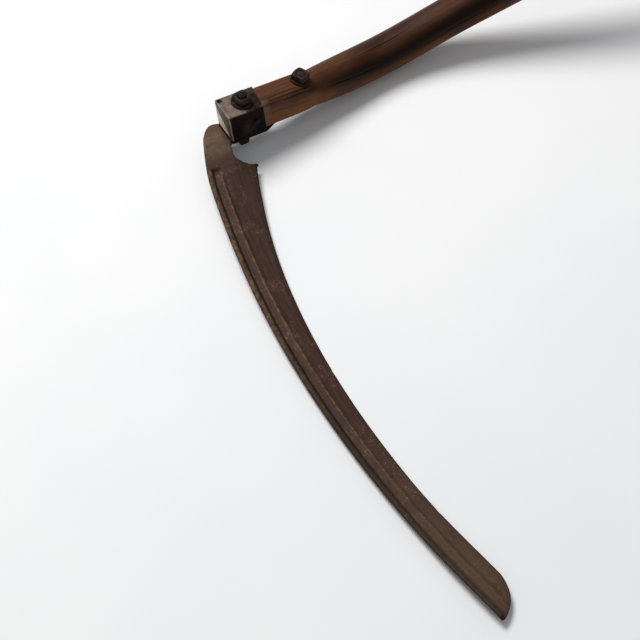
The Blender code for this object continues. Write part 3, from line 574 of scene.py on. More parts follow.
def section_of(distance, radius):
    """Half width, half height and squareness of the wood at a distance from the head."""
    t = ease((distance - SHOULDER_AT) / (ROUNDED_BY - SHOULDER_AT))
    half_width = SHOULDER_HALF[0] + (radius - SHOULDER_HALF[0]) * t
    half_height = SHOULDER_HALF[1] + (radius - SHOULDER_HALF[1]) * t
    power = HEAD_POWER + (SHAFT_POWER - HEAD_POWER) * min(1.0, CORNER_LOSS * math.sqrt(t))
    return half_width, half_height, max(power, SHAFT_POWER)


CHECKS_START = 47                    # at the cap's mouth
# Drying checks: start and length (mm), angle round the wood (degrees), half width and depth (mm).
CHECKS = (
    (CHECKS_START, 62, 128, 0.55, 0.9), (CHECKS_START, 38, 116, 0.45, 0.6), (58, 48, 139, 0.40, 0.5),
    (104, 96, 150, 0.45, 0.6), (CHECKS_START, 50, 172, 0.20, 0.3), (66, 88, 196, 0.20, 0.3),
    (150, 110, 100, 0.40, 0.4), (232, 120, 165, 0.45, 0.5), (CHECKS_START, 44, 24, 0.5, 0.8),
    (120, 130, 50, 0.4, 0.5), (340, 160, 80, 0.4, 0.4), (1280, 120, 130, 0.5, 0.8),
    (1310, 95, 30, 0.5, 0.9), (640, 180, 290, 0.4, 0.4), (900, 200, 200, 0.4, 0.4),
    (CHECKS_START, 60, 262, 0.5, 0.7),
)


def check_depth(distance, angle, reach):
    """Depth of the drying checks at a place on the wood, and how dark they are there."""
    deepest, darkest = 0.0, 0.0
    for start, length, at, half, depth in CHECKS:
        t = (distance / MM - start) / length
        if 0 <= t <= 1:
            wander = 2.2 * noise.noise(Vector((distance * 26, at, 0.5)))
            off = (math.degrees(angle) - at - wander + 180) % 360 - 180
            near = math.exp(-((math.radians(off) * reach / (half * MM)) ** 2))
            fade = min(1.0, 4 * (1 - t)) * (1.0 if start == CHECKS_START else min(1.0, 4 * t))
            deepest = max(deepest, near * fade * depth * MM)
            darkest = max(darkest, near * fade)
    return deepest, darkest


def snath_stations():
    """Distances along the wood: close together where the washer is seated, wider towards the far end."""
    stops = [SHOULDER_AT + 0.6 * MM]
    while stops[-1] < LINE_LENGTH - 2 * MM:
        near_seat = abs(stops[-1] - REAR_BOLT_AT) < NEAR_SEAT
        stops.append(stops[-1] + (0.8 if near_seat else 2.5 if stops[-1] < IN_PHOTO else 7) * MM)
    return [stop for stop in stops if stop < LINE_LENGTH - 2.5 * MM]


def make_snath():
    """Bent wooden pole: squared head, facets of the drawknife fading into the round, checks and dents."""
    seat, seat_radius = station(REAR_BOLT_AT)
    to_seat = seat.inverted()
    seat_height = section_of(REAR_BOLT_AT, seat_radius)[1] - REAR_SEAT_DEPTH
    rings, marks = [], Marks()

    def add_ring(distance, scale=1.0, tenon=False, shoulder=False):
        matrix, radius = station(distance)
        half_width, half_height, power = section_of(distance, radius)
        if tenon:
            half_width, half_height, power = *TENON_HALF, HEAD_POWER
        ring = []
        for k in range(RING_POINTS):
            angle = 2 * math.pi * (k + 0.5) / RING_POINTS
            cos_a, sin_a = math.cos(angle), math.sin(angle)
            reach = (abs(cos_a) ** power + abs(sin_a) ** power) ** (-1 / power)
            y, z = half_width * reach * cos_a * scale, half_height * reach * sin_a * scale
            local = (distance, y, z)
            dark = 0.0
            if not tenon and scale == 1.0:
                depth, dark = check_depth(distance, angle, math.hypot(y, z))
                depth += TOOL_MARK * (1 + lump(local, (14, 60, 60)))
                depth += FINE_MARK * (1 + lump(local, (18, 420, 420), 7.0))
                shrink = 1 - depth / math.hypot(y, z)
                y, z = y * shrink, z * shrink
            forward = mouth_at(y, z) + GAP - distance if shoulder else 0.0
            point = matrix @ Vector((forward, y, z))
            if abs(distance - REAR_BOLT_AT) < NEAR_SEAT:
                in_seat = to_seat @ point
                if in_seat.z > seat_height and math.hypot(in_seat.x, in_seat.y) < REAR_SEAT_RADIUS:
                    in_seat.z = seat_height
                    point = seat @ in_seat
            ring.append(point)
            # Clean pale wood beside the cap; painted bounce light, lighter and redder, low on the near
            # side; painted shade in a band high on the near side, over a general darkening of the wood past
            # the head.
            past = (distance + forward - mouth_at(y, z)) / MM
            on_side = ease((abs(cos_a) - 0.35) / 0.3) * (1 if cos_a < 0 else 0.5)
            rounded_off = ease((distance - 0.12) / 0.12)
            near_side = 0.4 + 0.6 * ease((0.3 - cos_a) / 0.6)
            below = ease((0.62 - 0.32 * rounded_off - sin_a) / 0.35)
            off_band = math.degrees(angle) - DARK_BAND_AT + 12 * lump(local, (9, 30, 30), 40.0)
            band = math.exp(-((off_band / DARK_BAND_HALF) ** 2))
            marks.add(
                grain=local, checks=dark, pale=0.0 if tenon else on_side * (1 - ease((past - 4) / 5)),
                lower=(0.9 - 0.3 * rounded_off) * near_side * below,
                handled=(0.24 + 0.74 * band) * ease((distance - 0.085) / 0.09))
        rings.append(ring)

    add_ring(6 * MM, tenon=True)
    add_ring(SHOULDER_AT, tenon=True, shoulder=True)
    add_ring(SHOULDER_AT, scale=0.97, shoulder=True)
    for distance in snath_stations():
        add_ring(distance)
    add_ring(LINE_LENGTH - 1.2 * MM)
    add_ring(LINE_LENGTH - 0.4 * MM, scale=0.975)
    for scale in (0.93, 0.6, 0.2):
        add_ring(LINE_LENGTH, scale=scale)
    add_piece("snath_pole", skin(rings), "snath_assembly", ["snath"], "snath_wood", marks=marks)


# ---------------------------------------------------------------- blade

TANG_TOP = -22.9 * MM                # below the head's axis
TANG_THICKNESS = 6.0 * MM
TANG_CORNER = 1.3 * MM
TANG_OUTLINE = ((49.0, 3.0), (48.4, 4.3), (47.3, 5.6), (45.0, 6.5), (42.0, 7.0), (37.0, 7.2), (32.0, 7.4))
BLADE_TILT = math.radians(5.0)
BLADE_LENGTH = 582.0 * MM
HEEL_BACK = Vector((-35.0, -36.0, 0)) * MM
CHORD_ANGLE = math.radians(-88.3)
BACK_SAG = 33.5 * MM
SAG_AT = 275.0 * MM
SAG_HEEL = (283.0 * MM, 2.0)         # span and power of the bow on the heel's side
SAG_TOE = (301.0 * MM, 2.05)
WIDTH_TOE = 31.0 * MM
WIDTH_HEEL_EXTRA = 29.3 * MM
WIDTH_DECAY = 115.0 * MM
TOE_FLARE = 2.4 * MM
FLARE_FROM = 420.0 * MM
FLARE_SPAN = 110.0 * MM
TOE_START = 539.0 * MM
TOE_FULLNESS = 2.6
TOE_BLUNTNESS = 0.75
FLOOR_TOUCH = 300.0 * MM
HEEL_RISE = 10.0 * MM
TOE_RISE = 8.0 * MM
ROCKER_POWER = 1.6
THINNING_FROM = 300.0 * MM
THINNING_SPAN = 250.0 * MM
HEEL_FAN_SPAN = 50.0 * MM
HEEL_FAN = 5.0 * MM
UNDER_POINTS = 10
TOP_POINTS = 64
FINE_POINTS = 45                     # of them, over the rib and the bead
# The neck turns the tang into the blade.  Pairs of points on its inner and outer outline (mm).
NECK_OUTLINE = (
    ((27.0, -5.6), (27.0, 8.6)), ((15.0, -7.0), (15.0, 9.0)), ((7.0, -8.2), (5.0, 18.5)),
    ((3.2, -12.6), (-8.0, 20.0)), ((1.2, -17.5), (-19.0, 9.5)), ((0.2, -22.5), (-25.5, -4.5)),
    ((0.4, -27.0), (-30.5, -17.5)), ((3.0, -32.0), (-34.5, -29.5)), ((10.5, -40.3), (-37.0, -39.5)),
    ((19.6, -44.6), (-38.6, -45.5)),
)
NECK_STEPS = 10
FIRST_STOP = 12.0 * MM               # along the blade, where the neck ends
DROP_FROM = 2.5


def bow(u):
    """Offset of the blade's back from its chord, at a distance from the heel."""
    span, power = SAG_HEEL if u < SAG_AT else SAG_TOE
    return -BACK_SAG * (1 - (abs(u - SAG_AT) / span) ** power)


def blade_width(u):
    width = WIDTH_TOE + WIDTH_HEEL_EXTRA * math.exp(-u / WIDTH_DECAY)
    return width + TOE_FLARE * ease((u - FLARE_FROM) / FLARE_SPAN)


def edge_offset(u):
    """Offset of the cutting edge from the chord; the toe is rounded off to the point."""
    if u < TOE_START:
        return bow(u) + blade_width(u)
    at_toe = bow(TOE_START) + blade_width(TOE_START)
    t = min((u - TOE_START) / (BLADE_LENGTH - TOE_START), 0.995)
    return at_toe * (1 - t**TOE_FULLNESS) ** TOE_BLUNTNESS


def edge_height(u):
    away = u - FLOOR_TOUCH
    if away < 0:
        return HEEL_RISE * (-away / FLOOR_TOUCH) ** ROCKER_POWER
    return TOE_RISE * (away / (BLADE_LENGTH - FLOOR_TOUCH)) ** ROCKER_POWER


def on_blade(u, v):
    along = Vector((math.cos(CHORD_ANGLE), math.sin(CHORD_ANGLE), 0))
    across = Vector((-along.y, along.x, 0))
    return PLAN_SHIFT + HEEL_BACK + along * u + across * v


def web_height(v, width, toe):
    """Height of the blade's upper side above its flat underside, at v from the back."""
    rib = 5.6 - 2.6 * toe
    bead = 4.0 - 1.3 * toe
    rows = (
        (0.0, 0.45 * rib), (0.6, 0.86 * rib), (1.8, rib), (4.0, rib), (5.2, 0.86 * rib),
        (6.2, 0.50 * rib), (7.4, 0.40 * rib), (8.6, 0.46 * rib), (9.8, 0.72 * bead),
        (13.2, 0.76 * bead), (14.4, 0.96 * bead), (15.4, 1.05 * bead), (16.5, 0.98 * bead),
        (17.8, 0.62 * bead), (20.0, 0.52 * bead),
        (max(0.74 * width / MM, 22.0), 1.9), (60.0, 1.9),
    )
    height = np.interp(v / MM, [row[0] for row in rows], [row[1] for row in rows]) * MM
    return min(height, 0.5 * MM + 0.28 * (width - v))


def plate_height(v, width):
    """Upper side of the neck and tang: a flat bar with eased, slightly crowned edges."""
    from_edge = min(v, width - v)
    crown = 0.5 * MM * math.sin(math.pi * min(max(v / width, 0.0), 1.0))
    if from_edge < TANG_CORNER:
        rise = math.sqrt(max(1 - (1 - from_edge / TANG_CORNER) ** 2, 0.0))
        return TANG_THICKNESS - TANG_CORNER * (1 - rise) - 0.5 * MM + crown
    return TANG_THICKNESS - 0.5 * MM + crown


def catmull(points, i, t):
    p0, p3 = points[max(i - 1, 0)], points[min(i + 2, len(points) - 1)]
    p1, p2 = points[i], points[i + 1]
    return 0.5 * (2 * p1 + (p2 - p0) * t + (2 * p0 - 5 * p1 + 4 * p2 - p3) * t * t
                  + (3 * p1 - p0 - 3 * p2 + p3) * t**3)


def tang_plane_height(x, y):
    """Height of the tang's underside at a place in plan."""
    origin = HEAD @ Vector((0, 0, TANG_TOP - TANG_THICKNESS))
    normal = HEAD.to_3x3() @ WORLD_UP
    return origin.z - (normal.x * (x - origin.x) + normal.y * (y - origin.y)) / normal.z


def blade_lines():
    """Distance (negative before the heel), back and edge of each cross-section, from tang to toe."""
    lines = []
    for x, half in TANG_OUTLINE:
        low = TANG_TOP - TANG_THICKNESS
        lines.append([HEAD @ Vector((x * MM, TANG_MIDDLE + side * half * MM, low)) for side in (1, -1)])
    inner = [PLAN_SHIFT + Vector((*pair[0], 0)) * MM for pair in NECK_OUTLINE]
    outer = [PLAN_SHIFT + Vector((*pair[1], 0)) * MM for pair in NECK_OUTLINE]
    spans = len(NECK_OUTLINE) - 1
    heel_edge = edge_height(FIRST_STOP)
    heel_back = heel_edge + blade_width(FIRST_STOP) * math.sin(BLADE_TILT)
    for step in range(spans * NECK_STEPS):
        i, t = divmod(step / NECK_STEPS, 1)
        edge, back = catmull(inner, int(i), t), catmull(outer, int(i), t)
        drop = ease((i + t - DROP_FROM) / (spans - DROP_FROM))
        edge.z = tang_plane_height(edge.x, edge.y) * (1 - drop) + heel_edge * drop
        back.z = tang_plane_height(back.x, back.y) * (1 - drop) + heel_back * drop
        lines.append([back, edge])
    heel = len(lines)
    u = FIRST_STOP
    while BLADE_LENGTH - u > 1.5 * MM:
        width = edge_offset(u) - bow(u)
        fan = HEEL_FAN * max(1 - u / HEEL_FAN_SPAN, 0.0)
        edge, back = on_blade(u - fan, bow(u) + width), on_blade(u, bow(u))
        edge.z = edge_height(u)
        back.z = edge.z + width * math.sin(BLADE_TILT)
        lines.append([back, edge])
        u += min(2.2 * MM, max(0.06 * (BLADE_LENGTH - u), 0.3 * MM))
    middles = [(back + edge) / 2 for back, edge in lines]
    travelled = [0.0]
    for here, there in zip(middles[:-1], middles[1:]):
        travelled.append(travelled[-1] + (there - here).length)
    return [(d - travelled[heel], *line) for d, line in zip(travelled, lines)]


RIB_START = -16.0 * MM               # before the end of the neck
GROOVE_AT = 7.2 * MM                 # from the back, as for the bead
BEAD_AT = 15.4 * MM
NICK = 0.9 * MM


def top_samples(width):
    """Positions across the blade from its back, closest together over the rib and the bead."""
    dense = min(21 * MM, 0.62 * width)
    fine = [dense * i / (FINE_POINTS - 1) for i in range(FINE_POINTS)]
    rest = TOP_POINTS - FINE_POINTS
    return fine + [dense + (width - dense) * ((i + 1) / rest) ** 0.9 for i in range(rest)]


def make_blade():
    """Blade, neck and tang: one forging, with a lumpy back rib, groove, band, bead and thin worn web."""
    rings, marks = [], Marks()
    lines = blade_lines()
    tip = lines[-1][0]
    for distance, back, edge in lines:
        across = (edge - back).normalized()
        upright = (WORLD_UP - across * across.z).normalized()
        width = (edge - back).length
        thinning = ease((distance - THINNING_FROM) / THINNING_SPAN)
        dulled = ease((distance - 120 * MM) / (260 * MM))
        at_tip = ease((distance - tip + 9 * MM) / (7 * MM))
        nick = max(0.0, lump((distance, 0, 0), (70, 1, 1), 3.0) - 0.3) * NICK * ease(distance / (40 * MM))
        ring = []
        for i in range(UNDER_POINTS):
            v = width * (1 - i / UNDER_POINTS)
            ring.append(back + across * min(v, width - nick))
            marks.add(
                flow=(distance, v, -MM), ridge=0.0, neck=1.0 if distance < 0 else 0.0, heel=1.0,
                toe=thinning, soot=0.0)
        for v in top_samples(width):
            past = distance - RIB_START - 3 * MM * math.sin(math.pi * min(v / width, 1.0))
            into_web = ease(past / (4 * MM))
            thinned = ease(past / (4 * MM + 50 * MM * ease((v - 15 * MM) / (7 * MM))))
            here = (distance, v, 0.0)
            on_rib = 1 - ease((v - 5 * MM) / (1.6 * MM))
            on_bead = math.exp(-(((v - BEAD_AT) / (1.5 * MM)) ** 2)) * (1 - 0.5 * thinning)
            on_band = ease((v - 9 * MM) / MM) * (1 - ease((v - 14 * MM) / MM))
            web = web_height(v, width, thinning)
            bumps = 0.28 * lump(here, (90, 240, 1)) - 0.2 + 0.22 * lump(here, (260, 420, 1), 5.0)
            web += on_rib * MM * bumps * (1 - 0.6 * dulled)
            web += 0.12 * MM * lump(here, (60, 200, 1), 9.0)
            flat = plate_height(v, width) + 0.22 * MM * lump(here, (70, 70, 1), 2.0)
            height = max(flat + (web - flat) * thinned, 0.35 * MM)
            inset = 0.0
            if into_web > 0 and on_rib > 0 and v < 2 * MM:
                inset = max(0.0, 0.35 * MM * lump(here, (120, 1, 1), 8.0)) * into_web
            ring.append(back + across * min(max(v, inset), width - nick) + upright * height)
            # Painted shade: the groove, the thin edge and the toe's end are darkened as if in shade; the
            # rib darkens towards the toe.
            groove = math.exp(-(((v - GROOVE_AT) / (1.3 * MM)) ** 2)) * (1 - 0.75 * thinning)
            thin_edge = ease((v - width + 1.6 * MM) / (1.2 * MM)) * (0.6 if distance > 0 else 0.2)
            dull_rib = 0.45 * dulled * on_rib
            tip_dark = 0.75 * at_tip * (1 - ease((v - 4 * MM) / (3 * MM)))
            marks.add(
                flow=(distance, v, height), neck=1 - into_web, toe=thinning,
                heel=0.85 * ease((distance + 44 * MM) / (32 * MM)),
                ridge=into_web * max(on_rib * (1 - 0.75 * dulled), on_bead, 0.22 * on_band),
                soot=max(into_web * groove * 0.9, thin_edge, dull_rib, tip_dark))
        rings.append(ring)
    add_piece("blade_forging", skin(rings), "blade", ["blade"], "blade_iron", marks=marks)


# ---------------------------------------------------------------- turned and forged shapes

def swung(profile, angle):
    """Profile points (radius, height) as they stand at an angle round the Z axis."""
    return [Vector((r * math.cos(angle), r * math.sin(angle), z)) for r, z in profile]


def swung_round(profile, sides):
    return [swung(profile, 2 * math.pi * k / sides) for k in range(sides)]


def turned(profile, sides=64):
    """Skin of a turned piece with a hole: the profile is a closed outline."""
    return skin(swung_round(profile, sides), closed=True)


def stacked(profile, sides=64):
    """Skin of a solid turned piece, closed at both ends of its profile."""
    return skin(list(zip(*swung_round(profile, sides))))


def rounded(profile, radius, steps=5):
    """The closed profile with its corners rounded off."""
    out = []
    for i, corner in enumerate(profile):
        corner = Vector(corner)
        before, after = Vector(profile[i - 1]), Vector(profile[(i + 1) % len(profile)])
        cut = min(radius, (before - corner).length * 0.45, (after - corner).length * 0.45)
        first = corner + (before - corner).normalized() * cut
        last = corner + (after - corner).normalized() * cut
        for s in range(steps):
            t = s / (steps - 1)
            out.append(tuple(first * (1 - t) ** 2 + corner * 2 * t * (1 - t) + last * t * t))
    return out


NUT_POINTS = 96


def nut_skin(across, hole, low, high, sides, corner_power=14.0, crown=0.9 * MM):
    """A forged nut: flats, rounded corners and an upper face turned down towards the corners."""
    rings = []
    part = 2 * math.pi / sides
    for k in range(NUT_POINTS):
        angle = 2 * math.pi * k / NUT_POINTS
        off_flat = (angle + part / 2) % part - part / 2
        # The flats blend round the corners with a short radius.
        sharp = across / 2 / math.cos(off_flat)
        blunt = across / 2 / math.cos(part / 2) * 0.93
        outer = (sharp**-corner_power + blunt**-corner_power) ** (-1 / corner_power)
        chamfer = crown + max(0.0, outer - across / 2) * 0.5
        profile = [
            (hole, low), (outer - 0.5 * MM, low), (outer, low + 0.5 * MM), (outer, (low + high) / 2),
            (outer, high - chamfer), (outer - 0.35 * MM, high - 0.55 * chamfer),
            (outer - 1.2 * MM, high - 0.2 * chamfer), (outer - 2.4 * MM, high),
            (hole + 0.7 * MM, high), (hole, high - 0.6 * MM),
        ]
        rings.append(swung(profile, angle))
    return skin(rings, closed=True)


def battered(points_faces, amount, per_metre, seed):
    """The skin with its points shifted by smooth noise, as on hand-forged iron."""
    points, faces = points_faces
    out = []
    for p in points:
        shift = Vector([lump(p, (per_metre,) * 3, seed + 13.0 * axis) for axis in range(3)])
        out.append(p + shift * amount)
    return out, faces


def placed(matrix, points_faces):
    points, faces = points_faces
    return [matrix @ point for point in points], faces


# ---------------------------------------------------------------- iron on the head

FERRULE_HALF = (16.0 * MM, 19.3 * MM)
FERRULE_SHEET = 2.0 * MM
FERRULE_CORNER = 2.4 * MM
END_LEAN = 3.5 * MM
END_MIDDLE = 1.5 * MM
BOLT_RADIUS = 4.75 * MM
LOOP_BOLT_AT = 22.0 * MM
NUT_ACROSS = 16.0 * MM
NUT_HEIGHT = 7.0 * MM
NAIL_AT = 33.0 * MM
PLATE_THICKNESS = 3.0 * MM
LOOP_HALF = (5.0 * MM, 13.4 * MM)    # along the snath, across it
LOOP_HALF_WINDOW = 10.4 * MM
LOOP_BAR = 5.0 * MM
LOOP_CROWN = 6.5 * MM


def end_face_at(height):
    return END_MIDDLE - END_LEAN * height / FERRULE_HALF[1]


def box_outline(half_width, half_height, corner, steps=7, runs=19):
    """Points round a rounded box, starting at the upper end of its left side."""
    arcs = []
    for side_y, side_z, start in ((1, 1, 0), (-1, 1, 90), (-1, -1, 180), (1, -1, 270)):
        cy, cz = side_y * (half_width - corner), side_z * (half_height - corner)
        angles = [math.radians(start + 90 * i / steps) for i in range(steps + 1)]
        arcs.append([(cy + corner * math.cos(a), cz + corner * math.sin(a)) for a in angles])
    out = []
    for arc, following in zip(arcs, arcs[1:] + arcs[:1]):
        out += arc
        (y0, z0), (y1, z1) = arc[-1], following[0]
        out += [(y0 + (y1 - y0) * i / runs, z0 + (z1 - z0) * i / runs) for i in range(1, runs)]
    return out


def make_ferrule():
    """Folded iron cap: rounded folds, dented walls, rolled lips, and a flap turned down over its end."""
    half_width, half_height = FERRULE_HALF
    outline = box_outline(half_width, half_height, FERRULE_CORNER)
    inside = box_outline(half_width - FERRULE_SHEET, half_height - FERRULE_SHEET, FERRULE_CORNER / 2)
    edges = list(zip(outline, inside))
    rings, marks = [], Marks()

    def add(ring, worn, dark=0.0):
        rings.append([HEAD @ point for point in ring])
        for point in ring:
            marks.add(
                rubbed=worn(point) if callable(worn) else worn,
                soot=dark(point) if callable(dark) else dark)

    # Painted light: the whole end face is given the pale bare colour, as the face lit by the lamp.
    def lit_end(point):
        return 1.0 if point.y > -half_width else 0.0

    def wall_worn(point):
        return 0.16 if point.z > half_height - MM and point.x < 20 * MM else 0.0

    def opening(x, y, z):
        """How far into the gap left by the sheet where it is folded round the far corner of the end."""
        if z < half_height - 2 * MM:
            return 0.0
        away = math.hypot((x - OPENING_AT[0]) / 1.5, y - OPENING_AT[1])
        return ease(1.6 * (1 - away / OPENING_RADIUS))

    def wall_dark(point):
        """Painted shade: the wall on the blade's side is painted black as it faces away from the lamp, and
        the fold's gap is painted dark; the top is darkened beside the bolt, partly stain and partly the
        nut's painted shadow.
        """
        on_near = ease((-point.y - half_width + 1.2 * MM) / MM)
        stain = Vector((point.x - LOOP_BOLT_AT - 9 * MM, point.y + 3 * MM)).length
        stain += 4 * MM * lump(point, (160, 160, 160), 17.0)
        on_top = ease((point.z - half_height + 2 * MM) / MM)
        darkened_patch = 0.8 * on_top * (1 - ease((stain - 10 * MM) / (7 * MM)))
        return max(0.93 * on_near, darkened_patch, 0.96 * opening(*point))

    for shrink in (0.05, 0.35, 0.65, 0.86, 0.95):
        add([Vector((end_face_at(z * shrink), y * shrink, z * shrink)) for y, z in outline], lit_end)
    for turn in (20, 45, 70):
        a = math.radians(turn)
        inset = FOLD_RADIUS * (1 - math.sin(a))
        back = FOLD_RADIUS * (1 - math.cos(a))
        ring = []
        for y, z in outline:
            scale_y, scale_z = 1 - inset / half_width, 1 - inset / half_height
            ring.append(Vector((end_face_at(z) + back, y * scale_y, z * scale_z)))
        add(ring, 0.3)
    for t in np.linspace(0, 1, WALL_RINGS):
        ring = []
        for y, z in outline:
            start = end_face_at(z) + FOLD_RADIUS + 0.1 * MM
            x = start + (mouth_at(y, z) - LIP_RADIUS - start) * t
            to_fold = half_width - abs(y) if abs(z) > half_height - MM else half_height - abs(z)
            on_flat = min(1.0, max(0.0, to_fold) / (3 * MM)) * math.sin(math.pi * min(t, 0.95))
            dent = DENT * (1 + lump((x, y, z), (70, 70, 70), 4.0)) * on_flat
            shrink = 1 - dent / half_width
            ring.append(Vector((x, y * shrink, z * shrink - OPENING_DEPTH * opening(x, y, z))))
        add(ring, wall_worn, wall_dark)
    # Rolled lip: some wear, and painted shade in its crease.
    for turn in (30, 60, 90, 120, 150):
        a = math.radians(turn)
        share = (1 - math.cos(a)) / 2
        ring = []
        for (y, z), (yi, zi) in edges:
            x = mouth_at(y, z) - LIP_RADIUS * (1 - math.sin(a))
            ring.append(Vector((x, y + (yi - y) * share, z + (zi - z) * share)))
        add(ring, 0.3, 0.3)
    # Painted shade inside the cap's mouth and on its inner end.
    add([Vector((mouth_at(y, z) - MM, yi, zi)) for (y, z), (yi, zi) in edges], 0.0, 0.8)
    add([Vector((end_face_at(z) + FERRULE_SHEET, yi, zi)) for (y, z), (yi, zi) in edges], 0.0, 0.9)
    flap = placed(HEAD, flap_skin())
    for _ in flap[0]:
        marks.add(rubbed=0.06, soot=0.0)
    add_piece(
        "ferrule_cap", joined(skin(rings), flap),
        "snath_assembly", ["snath_ferrule"], "cap_iron", marks=marks)


WALL_RINGS = 37
FLAP_ROWS = 23
FOLD_RADIUS = 1.5 * MM
LIP_RADIUS = 0.5 * MM
DENT = 0.35 * MM
OPENING_AT = (1.4 * MM, 11.8 * MM)   # along and across the cap's top
OPENING_RADIUS = 3.4 * MM
OPENING_DEPTH = 1.5 * MM
FLAP_THICKNESS = 0.9 * MM


def flap_skin():
    """The flap folded down over the cap's end: wide at the top, narrowing to a rounded tip."""
    half_width, half_height = FERRULE_HALF
    near = -half_width + 1.2 * MM
    rings = []
    for t in np.linspace(0, 1, FLAP_ROWS):
        z = half_height - 1.3 * MM - (1.85 * half_height) * t
        far = half_width - 3.2 * MM - (1.48 * half_width) * ease(t * 1.05)
        far = max(far, near + 1.5 * MM)
        face = end_face_at(z)
        outer, under = face - FLAP_THICKNESS, face + 0.4 * MM
        section = (
            (under, near), (outer + 0.3 * MM, near), (outer, near + 0.5 * MM), (outer, (near + far) / 2),
            (outer, far - 0.5 * MM), (outer + 0.35 * MM, far), (under, far),
        )
        rings.append([Vector((x, y, z)) for x, y in section])
    return battered(skin(rings), 0.25 * MM, 140, 21.0)


LOOP_WASHER_RADIUS = 11.5 * MM
REAR_WASHER_RADIUS = 10.5 * MM
WASHER_THICKNESS = 2.0 * MM
REAR_HEAD_RADIUS = 7.0 * MM
REAR_HEAD_RISE = 3.2 * MM
NAIL_RADIUS = 1.4 * MM
NAIL_HEAD_RADIUS = 3.2 * MM
NAIL_DEPTH = 8.0 * MM


def dome(radius, base, height, degrees=range(0, 90, 15)):
    """Profile points of a domed end: radius and height at each angle up the dome."""
    return [(radius * math.cos(t), base + height * math.sin(t)) for t in np.radians(degrees)]


def stack_on(matrix, name, base, turn, washer_radius, seed):
    """Washer and square nut on a bolt whose axis is the matrix's Z."""
    hole = BOLT_RADIUS + GAP
    washer_low = base + GAP
    washer_high = washer_low + WASHER_THICKNESS
    profile = rounded([
        (hole, washer_low), (washer_radius, washer_low),
        (washer_radius, washer_high), (hole, washer_high),
    ], 0.8 * MM)
    washer = battered(turned(profile, 72), 0.16 * MM, 130, seed)
    add_piece(
        f"{name}_washer_forged", placed(matrix, washer),
        "snath_assembly", [f"{name}_washer"], "cap_iron", "bolt_iron")
    low = washer_high + GAP
    nut = battered(nut_skin(NUT_ACROSS, hole, low, low + NUT_HEIGHT, 4), 0.2 * MM, 150, seed + 4)
    spin = matrix @ Matrix.Rotation(math.radians(turn), 4, "Z")
    add_piece(f"{name}_nut_forged", placed(spin, nut), "snath_assembly", [f"{name}_nut"], "bolt_iron")
    return low + NUT_HEIGHT


def loop_skin():
    """The forged eye of the loop bolt, round the tang, with rounded bars."""
    window_top, window_low = TANG_TOP + GAP, TANG_TOP - TANG_THICKNESS - GAP
    low, high = window_low - LOOP_BAR, window_top + LOOP_CROWN
    along, half = LOOP_HALF
    window_middle, middle = (window_top + window_low) / 2, (low + high) / 2
    outer = box_outline(half, (high - low) / 2, 3.4 * MM)
    inner = box_outline(LOOP_HALF_WINDOW, (window_top - window_low) / 2, 0.5 * MM)
    rings = []
    for (oy, oz), (iy, iz) in zip(outer, inner):
        out_point, in_point = Vector((oy, oz + middle)), Vector((iy, iz + window_middle))
        span = (out_point - in_point).length
        section = rounded([(0, -along), (span, -along), (span, along), (0, along)], 1.6 * MM, 4)
        heading = (out_point - in_point).normalized()
        rings.append([Vector((x, *(in_point + heading * reach))) for reach, x in section])
    return skin(rings, closed=True), high


def make_bolts():
    bolt_axis = HEAD @ Matrix.Translation((LOOP_BOLT_AT, 0, 0))
    nut_top = stack_on(bolt_axis, "loop", FERRULE_HALF[1], 8, LOOP_WASHER_RADIUS, 31.0)
    loop, crown = loop_skin()
    profile = [(BOLT_RADIUS, crown - 3 * MM), (BOLT_RADIUS, nut_top + 0.6 * MM)]
    shank = stacked(profile + dome(BOLT_RADIUS, nut_top + 0.9 * MM, 1.1 * MM))
    # The loop bolt is painted near-black, as painted shade under the head.
    add_piece(
        "loop_bolt_forged", placed(bolt_axis, joined(loop, shank)),
        "snath_assembly", ["loop_bolt"], "bolt_iron", "shade_black_iron")

    seat, radius = station(REAR_BOLT_AT)
    half_height = section_of(REAR_BOLT_AT, radius)[1]
    rear_top = stack_on(seat, "rear", half_height - REAR_SEAT_DEPTH, 20, REAR_WASHER_RADIUS, 57.0)
    under = -max(half_height, FERRULE_HALF[1]) - GAP - PLATE_THICKNESS - 3 * GAP
    profile = dome(REAR_HEAD_RADIUS, under, -REAR_HEAD_RISE, range(84, -1, -14))
    profile += [(REAR_HEAD_RADIUS, under), (BOLT_RADIUS, under), (BOLT_RADIUS, rear_top - 0.6 * MM)]
    profile += dome(BOLT_RADIUS, rear_top - 0.4 * MM, 0.8 * MM)
    add_piece(
        "rear_bolt_forged", placed(seat, stacked(profile)), "snath_assembly", ["rear_bolt"], "bolt_iron")


def make_nails():
    for name, side in (("near", -1), ("far", 1)):
        turn = Matrix.Translation((NAIL_AT, 0, 0)) @ Matrix.Rotation(-side * math.radians(90), 4, "X")
        wall = FERRULE_HALF[0] + GAP
        profile = [(NAIL_RADIUS, wall - NAIL_DEPTH), (NAIL_RADIUS, wall)]
        profile += [(NAIL_HEAD_RADIUS - 0.3 * MM, wall), (NAIL_HEAD_RADIUS, wall + 0.4 * MM)]
        profile += dome(NAIL_HEAD_RADIUS, wall + 0.6 * MM, MM, range(0, 86, 17))
        nail = battered(stacked(profile, 40), 0.1 * MM, 300, 71.0)
        add_piece(
            f"ferrule_nail_{name}_forged", placed(HEAD @ turn, nail),
            "snath_assembly", [f"ferrule_nail_{name}"], "bolt_iron")


def make_heel_plate():
    """Tapered plate between the tang and the wood: the CAD plate itself, with its edges rounded over,
    painted near-black as shade under the head.
    """
    finish_cad_node(frame["nodes"]["heel_plate"], "cap_iron", 0.8 * MM, "shade_black_iron")


